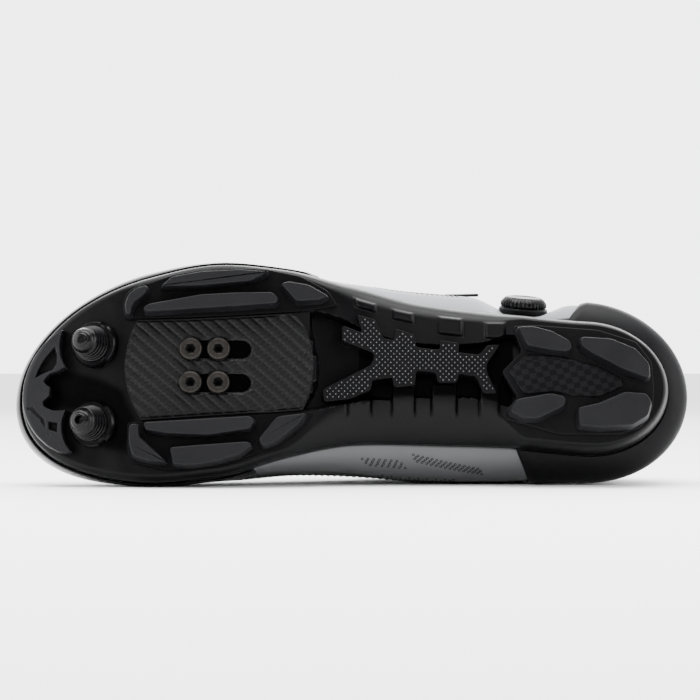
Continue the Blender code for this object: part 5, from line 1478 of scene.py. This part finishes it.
def overlay(name, turns, tops, rows, material):
    """Film laid on the upper's face: near side up, a rolled edge, and the far side back down."""
    turn = turns[:, None]
    share = np.linspace(0.0, 1.0, rows)[None, :]
    rise = share * tops[:, None]
    thick = SEAT + OVERLAY * np.sqrt(np.clip(1 - np.clip((share - 0.93) / 0.07, 0, 1) ** 2, 0, 1))
    thick = np.maximum(thick, SEAT + 0.0001)
    ends = np.minimum(np.arange(len(turns)), np.arange(len(turns))[::-1])[:, None]
    thick = SEAT + (thick - SEAT) * np.sqrt(np.clip(ends / 3.0, 0.05, 1.0))
    near = upper_skin(turn, rise, np.full(rise.shape, SEAT))
    far = upper_skin(turn, rise, thick)[:, ::-1]
    ring = np.concatenate((near, far), axis=1)
    return outward(ring_piece(name, ring, material, "overlay"), FINE_MERGE)


counter_turns = np.linspace(-COUNTER_END_MEDIAL + 0.008, COUNTER_END_LATERAL - 0.012, 180)
counter = overlay("counter_film", counter_turns, counter_top(counter_turns), 70, FILM)
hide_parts("heel_counter")
rand_turns = np.linspace(RAND_END_LATERAL + 0.010, 2 - RAND_END_MEDIAL - 0.010, 260)
rand = overlay("rand_film", rand_turns, rand_top(rand_turns), 60, GLOSS)
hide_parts("toe_rand")
print("overlays made")


# %% [markdown]
# ## Seams and pinholes
# Panels are sewn with a double row of thread, about three stitches a centimetre on a real
# shoe. One stitch is a spindle of six points, and a seam is one mesh with a spindle for each
# step along a line on the upper. Pinholes are punched in rows, and each is shown by a small
# black disc with a low rim and a sunk middle.

# %% Stitches
STITCH_PITCH = 0.0030
STITCH_LENGTH = 0.0022
STITCH_THICK = 0.00035
MARK_MERGE = 0.0000001
SIDES = (("lateral", 1.0), ("medial", -1.0))


def stitches(name, turns, rises, lift, material):
    """Spindles end to end along a line on the upper: two tips and a ring of four points."""
    path = upper_skin(turns, rises, np.full(len(turns), lift))
    step = np.linalg.norm(np.diff(path, axis=0), axis=1)
    run = np.concatenate(([0.0], np.cumsum(step)))
    starts = np.arange(0.0, run[-1] - STITCH_LENGTH, STITCH_PITCH)
    places = [np.stack([np.interp(starts + s, run, path[:, k]) for k in range(3)], axis=-1)
              for s in (0.0, STITCH_LENGTH / 2, STITCH_LENGTH)]
    ahead = unit(places[2] - places[0])
    around = unit(np.cross(ahead, np.array((0.3, 0.5, 0.81))))
    third = np.cross(ahead, around)
    middle_ring = [places[1] + STITCH_THICK * (around * math.cos(a) + third * math.sin(a))
                   for a in np.arange(4) * math.pi / 2]
    points = np.stack([places[0]] + middle_ring + [places[2]], axis=1).reshape(-1, 3)
    one = np.array([(0, 1, 2), (0, 2, 3), (0, 3, 4), (0, 4, 1),
                    (5, 2, 1), (5, 3, 2), (5, 4, 3), (5, 1, 4)])
    faces = (one[None] + 6 * np.arange(len(starts))[:, None, None]).reshape(-1, 3).tolist()
    return outward(piece_from(name, points, faces, material, "upper"), MARK_MERGE)


SEAM_STEPS = 500
SEAM_ROWS = (0.022, 0.042)   # rise of the two rows over the stay's edge
line = np.linspace(0.46, 0.985, SEAM_STEPS)
for side, sign in SIDES:
    for row, above in enumerate(SEAM_ROWS):
        stitches("stay_seam_%s_%d" % (side, row), sign * line, stay_line(line) + above,
                 STAY_STEP + 0.0001, GREY_THREAD)
collar_turn = np.linspace(-0.45, 0.45, SEAM_STEPS)
stitches("collar_seam", collar_turn, np.full(SEAM_STEPS, 0.90), 0.0003, THREAD)
wing_line = np.linspace(0.47, 0.75, 200)
for side, sign in SIDES:
    stitches("wing_seam_" + side, sign * wing_line, 0.64 - WING_SLOPE * (wing_line - WING_START),
             0.0005,
             GREY_THREAD)
print("seams made")


# %% Pinholes
HOLE_RADIUS = 0.00055
HOLE_RINGS = ((0.9, -0.0004), (1.0, 0.0), (0.72, 0.00004), (0.45, -0.00012))   # size and height


def pinholes(name, turns, rises):
    """Black discs on the upper: four rings of eight points, from a sunk foot to a sunk middle."""
    at = upper_skin(turns, rises, 0.00006)
    out = unit(upper_skin(turns, rises, 0.001) - upper_skin(turns, rises, 0.0))
    side_way = unit(np.cross(out, np.array((0.0, 0.0, 1.0))))
    other = np.cross(out, side_way)
    rings = [at + HOLE_RADIUS * size * (side_way * math.cos(a) + other * math.sin(a)) + out * level
             for size, level in HOLE_RINGS for a in np.arange(8) * math.pi / 4]
    points = np.stack(rings, axis=1)
    quads = np.array(grid_faces(4, 8, close_columns=True))
    shift = np.arange(len(turns))[:, None, None] * 32
    caps = np.array([list(range(7, -1, -1)), list(range(24, 32))])
    faces = ((quads[None] + shift).reshape(-1, 4).tolist()
             + (caps[None] + shift).reshape(-1, 8).tolist())
    return outward(piece_from(name, points.reshape(-1, 3), faces, PIN, "upper"), MARK_MERGE)


def hole_field(corners, across_count, down_count):
    """Staggered rows between four corners (turn, rise), by mixing the corners."""
    u, v = np.meshgrid(np.linspace(0, 1, across_count), np.linspace(0, 1, down_count))
    u = u + 0.5 / across_count * (np.arange(down_count) % 2)[:, None]
    a, b, c, d = np.asarray(corners, float)[:, None, None]
    u, v = u[..., None], v[..., None]
    mix = (a * (1 - u) + b * u) * (1 - v) + (d * (1 - u) + c * u) * v
    return mix.reshape(-1, 2)


HOLE_FIELDS = (
    # four corners in turn and rise, holes across, rows
    (((-0.434, 0.065), (-0.372, 0.165), (-0.372, 0.215), (-0.434, 0.110)), 15, 4),
    (((-0.486, 0.115), (-0.452, 0.118), (-0.448, 0.175), (-0.482, 0.172)), 7, 4),
    (((0.395, 0.24), (0.475, 0.24), (0.475, 0.36), (0.395, 0.36)), 17, 5),
    (((-0.40, 0.30), (-0.47, 0.30), (-0.47, 0.52), (-0.40, 0.52)), 9, 8),
)
holes = np.concatenate([hole_field(*field) for field in HOLE_FIELDS])
pinholes("pinholes", holes[:, 0], holes[:, 1])
print("pinholes:", len(holes))

# %% [markdown]
# ## Collar, tongue and insole
# Foam under cloth makes the collar and the tongue full and round. The collar's roll is a tube
# whose centre follows the opening just inside its edge, and it thins toward its sewn ends.
# The tongue is a thick strip under the throat, quilted between two sewn channels.

# %% Collar roll
COLLAR_END = 0.47            # turn at which the roll ends on both sides
COLLAR_POINTS = 260
COLLAR_SIDES = 36
ROLL_THICK = 0.0028          # half the roll's thickness, and what its quilting adds
ROLL_QUILT = 0.0010
ROLL_TALL = 0.0095           # half the roll's height
ROLL_HANG = 0.80             # share of that height by which its middle hangs under the edge

roll_turn = np.linspace(-COLLAR_END, COLLAR_END, COLLAR_POINTS)
roll_angle = np.linspace(0, 2 * math.pi, COLLAR_SIDES, endpoint=False)
edge_point = upper_skin(roll_turn, 1.0, -WALL / 2)
down = unit(upper_surface(roll_turn, 0.90) - upper_surface(roll_turn, 1.0))
inward_way = unit(upper_skin(roll_turn, 1.0, -0.001) - upper_skin(roll_turn, 1.0, 0.0))
full = smooth(0.0, 0.06, COLLAR_END - np.abs(roll_turn))
swell_in = (ROLL_THICK + ROLL_QUILT * np.abs(np.sin(roll_turn * 9.0))) * (0.25 + 0.75 * full)
tall = ROLL_TALL * (0.35 + 0.65 * full)
centre_line = (edge_point + inward_way * (swell_in + 0.0006)[:, None]
               + down * (tall * ROLL_HANG)[:, None])
collar_points = (centre_line[:, None]
                 + (inward_way * swell_in[:, None])[:, None] * np.cos(roll_angle)[None, :, None]
                 + (down * tall[:, None])[:, None] * np.sin(roll_angle)[None, :, None])
collar = outward(ring_piece("collar_padding", collar_points, LINING, "tongue"))
print("collar padding", collar_points.shape)

# %% Tongue
TONGUE_FRONT = 0.91
TONGUE_TOP = 0.52
TONGUE_UNDERLAP = 0.86
TONGUE_RISE = 0.016
TONGUE_ROWS = 110
TONGUE_COLUMNS = 60
TONGUE_TOP_ROWS = 26         # rows of the free end that stands out of the collar
TONGUE_WAY = np.array((-0.80, 0.0, 0.60))
TONGUE_CHANNEL = 0.0006      # depth of the two channels beside its middle
TONGUE_QUILT = 0.0005

tongue_share = np.linspace(0.0, 1.0, TONGUE_ROWS)[:, None]
tongue_turn = TONGUE_FRONT + (TONGUE_TOP - TONGUE_FRONT) * tongue_share
lateral_edge = upper_skin(tongue_turn, TONGUE_UNDERLAP, -WALL - TONGUE_GAP)
medial_edge = upper_skin(-tongue_turn, TONGUE_UNDERLAP, -WALL - TONGUE_GAP)
u = np.linspace(0.0, 1.0, TONGUE_COLUMNS)[None, :, None]
sheet = lateral_edge * (1 - u) + medial_edge * u
hump = (4 * u * (1 - u))[..., 0]
sheet[..., 2] += TONGUE_CROWN * tongue_share ** 4 * hump
sheet[..., 2] -= TONGUE_SAG * (1.25 - tongue_share)
top_row = sheet[-1]
top_middle = top_row.mean(axis=0)
more = np.linspace(0.0, 1.0, TONGUE_TOP_ROWS)[1:, None, None]
narrow = 1 - 0.22 * more - 0.10 * more ** 3
extra = top_middle + (top_row[None] - top_middle) * narrow
extra = extra + TONGUE_WAY * TONGUE_RISE * more
sheet = np.concatenate((sheet, extra))
slope = unit(np.gradient(sheet.mean(axis=1), axis=0))
under = np.column_stack((slope[:, 2], np.zeros(len(slope)), -slope[:, 0]))
under *= -np.sign(under[:, 2:])
v = np.linspace(-1, 1, TONGUE_COLUMNS)
rows_from_end = np.minimum(np.arange(len(sheet)), np.arange(len(sheet))[::-1])[:, None]
round_off = (np.sqrt(np.clip(1 - np.abs(v) ** 6, 0, 1))[None]
             * np.clip(rows_from_end / 4, 0.1, 1) ** 0.5)
channel = (TONGUE_CHANNEL * np.exp(-((np.abs(v) - 0.42) / 0.06) ** 2)[None]
           * smooth(10, 30, rows_from_end))
quilt = (TONGUE_QUILT * np.abs(np.sin(np.arange(len(sheet)) * 0.23))[:, None]
         * (np.abs(v) < 0.38)[None])
middle_sheet = sheet + under[:, None] * TONGUE_THICKNESS / 2
half = TONGUE_THICKNESS / 2 * round_off
raised = half - channel * round_off + quilt * round_off
face_up = middle_sheet - under[:, None] * raised[..., None]
face_down = middle_sheet + under[:, None] * (half * 0.96)[..., None]
tongue_all = np.concatenate((face_up, face_down[:, ::-1]), axis=1)
tongue = outward(ring_piece("tongue_padding", tongue_all, MESH, "tongue"), FINE_MERGE)
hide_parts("tongue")
print("tongue", tongue_all.shape)

# %% Insole
insole_turn = sole_turn[::2]
in_start_x, in_start_y = spine(insole_turn)
in_edge_x, in_edge_y, _ = rim(insole_turn)
in_edge = 1 - (WALL + 0.0012) / np.hypot(in_edge_x - in_start_x, in_edge_y - in_start_y)
INSOLE_SIDES = ((0.0010, (0.0, 0.4, 0.7, 0.85, 1.0)),          # lift over the footbed, shares
                (0.0048, (1.0, 0.98, 0.85, 0.7, 0.4, 0.0)))
insole_all = np.array([bed_ring(insole_turn, share, in_edge, level)
                       for level, shares in INSOLE_SIDES for share in shares])
insole = outward(grid_piece("insole_bed", insole_all, BOARD, "insole"))
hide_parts("insole")
print("insole", insole_all.shape)

# %% [markdown]
# ## Dial, guides and lace
# Turning the knurled dial winds in the lace, which runs through low guides on both sides of
# the throat. All of them stand square on the upper, so each is drawn about an upright axis
# and carried to its place by the face's own tangents and normal.


# %% Frames on the upper
def upper_frame(turn, rise):
    """Point, direction along the turn, up the rib, and outward on the upper."""
    at = upper_skin(turn, rise, 0.0)
    out = unit(upper_skin(turn, rise, 0.001) - at)
    up = upper_surface(np.array(turn), np.array(rise)) - upper_surface(np.array(turn),
                                                                       np.array(rise - 0.01))
    up = unit(up - out * (up @ out))
    return at, np.cross(up, out), up, out


def stand(points, turn, rise, height):
    """Points drawn about Z, carried to the upper's frame at a height over it."""
    at, ahead, up, out = upper_frame(turn, rise)
    return points @ np.array((ahead, up, out)) + at + out * height


# %% Dial
DIAL_SEAT = 0.0010
TEETH = 36
TOOTH_DEPTH = 0.055
BASE_PROFILE = ((0.2, -0.0006), (1.0, -0.0006), (1.0, 0.5 * DIAL_BASE_HEIGHT),
                (0.97, 0.85 * DIAL_BASE_HEIGHT), (0.92, DIAL_BASE_HEIGHT), (0.2, DIAL_BASE_HEIGHT))
KNOB_PROFILE = ((0.3, 0.0), (0.93, 0.0), (0.95, 0.10), (0.95, 0.34), (0.92, 0.50), (0.86, 0.68),
                (0.78, 0.86), (0.71, 0.96), (0.64, 1.0), (0.56, 0.985), (0.52, 0.93),
                (0.36, 0.91), (0.05, 0.93))
dial_base_rings = turned([(r * DIAL_RADIUS, level) for r, level in BASE_PROFILE], 96)
dial_ring = make_blocks("dial_ring", [stand(dial_base_rings, DIAL_TURN, DIAL_RISE, DIAL_SEAT)],
                        FILM, "dial")
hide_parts("dial_base")
tooth_angle = np.linspace(0, 2 * math.pi, TEETH * 8, endpoint=False)
tooth = 1 - TOOTH_DEPTH * smooth(-0.25, 0.45, np.cos(TEETH * tooth_angle))
knob_rings = turned([(r * DIAL_RADIUS, h * DIAL_KNOB_HEIGHT) for r, h in KNOB_PROFILE], TEETH * 8)
knob_rings[1:7, :, :2] *= tooth[None, :, None]
knob = make_blocks("dial_grip", [stand(knob_rings, DIAL_TURN, DIAL_RISE,
                                       DIAL_SEAT + DIAL_BASE_HEIGHT + SEAT)], GLOSS, "dial", 24)
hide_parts("dial_knob")
print("dial with", TEETH, "teeth")

# %% Guides
GUIDES = ((0.57, "lateral_upper"), (-0.57, "medial_upper"), (-0.70, "medial_lower"),
          (0.70, "lateral_lower"))
GUIDE_EDGE = 0.93
for turn, name in GUIDES:
    half_l, half_w = GUIDE_LENGTH / 2, GUIDE_WIDTH / 2
    outline = corner_round(np.array(((-half_l, -half_w), (half_l, -half_w), (0.75 * half_l, half_w),
                                     (-0.75 * half_l, half_w))), 0.0016)
    rings = block_rings(outline, -GUIDE_HEIGHT, 0.0, 0.0008)
    rings[..., 2] *= -1
    guide = make_blocks("guide_" + name, [stand(rings, turn, GUIDE_EDGE, 2 * SEAT)], GLOSS, "dial")
    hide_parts("lace_guide_" + name)
print("guides:", len(GUIDES))

# %% Lace
lift = GUIDE_HEIGHT + 2 * SEAT + LACE_CLEARANCE + LACE_DIAMETER / 2
leave = np.array((DIAL_TURN + 0.050, DIAL_RISE + 0.10))
first = np.array((GUIDES[0][0], GUIDE_EDGE))
run_share = np.linspace(0, 0.9, 6)
stops = [upper_skin(*(leave + (first - leave) * share),
                    lift - GUIDE_HEIGHT * (1 - smooth(0.0, 0.7, share))) for share in run_share]
for index, (turn, _) in enumerate(GUIDES):
    stops.append(upper_skin(turn, GUIDE_EDGE, lift))
    if index % 2 == 0:
        here = upper_skin(turn, 1.0, lift)
        there = upper_skin(GUIDES[index + 1][0], 1.0, lift)
        top = (here + there) / 2
        top[2] += LACE_CROWN * np.linalg.norm(here - there)
        stops += [here, top, there]
    elif index + 1 < len(GUIDES):
        stops += [upper_skin(turn + (GUIDES[index + 1][0] - turn) * step, GUIDE_EDGE, lift)
                  for step in np.linspace(0, 1, 5)[1:-1]]
lace_path = to_room(np.array(stops))
lace_curve = bpy.data.curves.new("lace_cord", "CURVE")
lace_curve.dimensions = "3D"
lace_curve.bevel_depth = LACE_DIAMETER / 2
lace_curve.bevel_resolution = 3
lace_curve.use_fill_caps = True
lace_line = lace_curve.splines.new("POLY")
lace_line.points.add(len(lace_path) - 1)
lace_line.points.foreach_set("co", np.column_stack((lace_path, np.ones(len(lace_path)))).ravel())
lace_curve.materials.append(CORD)
lace_piece = bpy.data.objects.new("lace_cord", lace_curve)
bpy.context.collection.objects.link(lace_piece)
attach(lace_piece, "root")
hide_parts("lace")
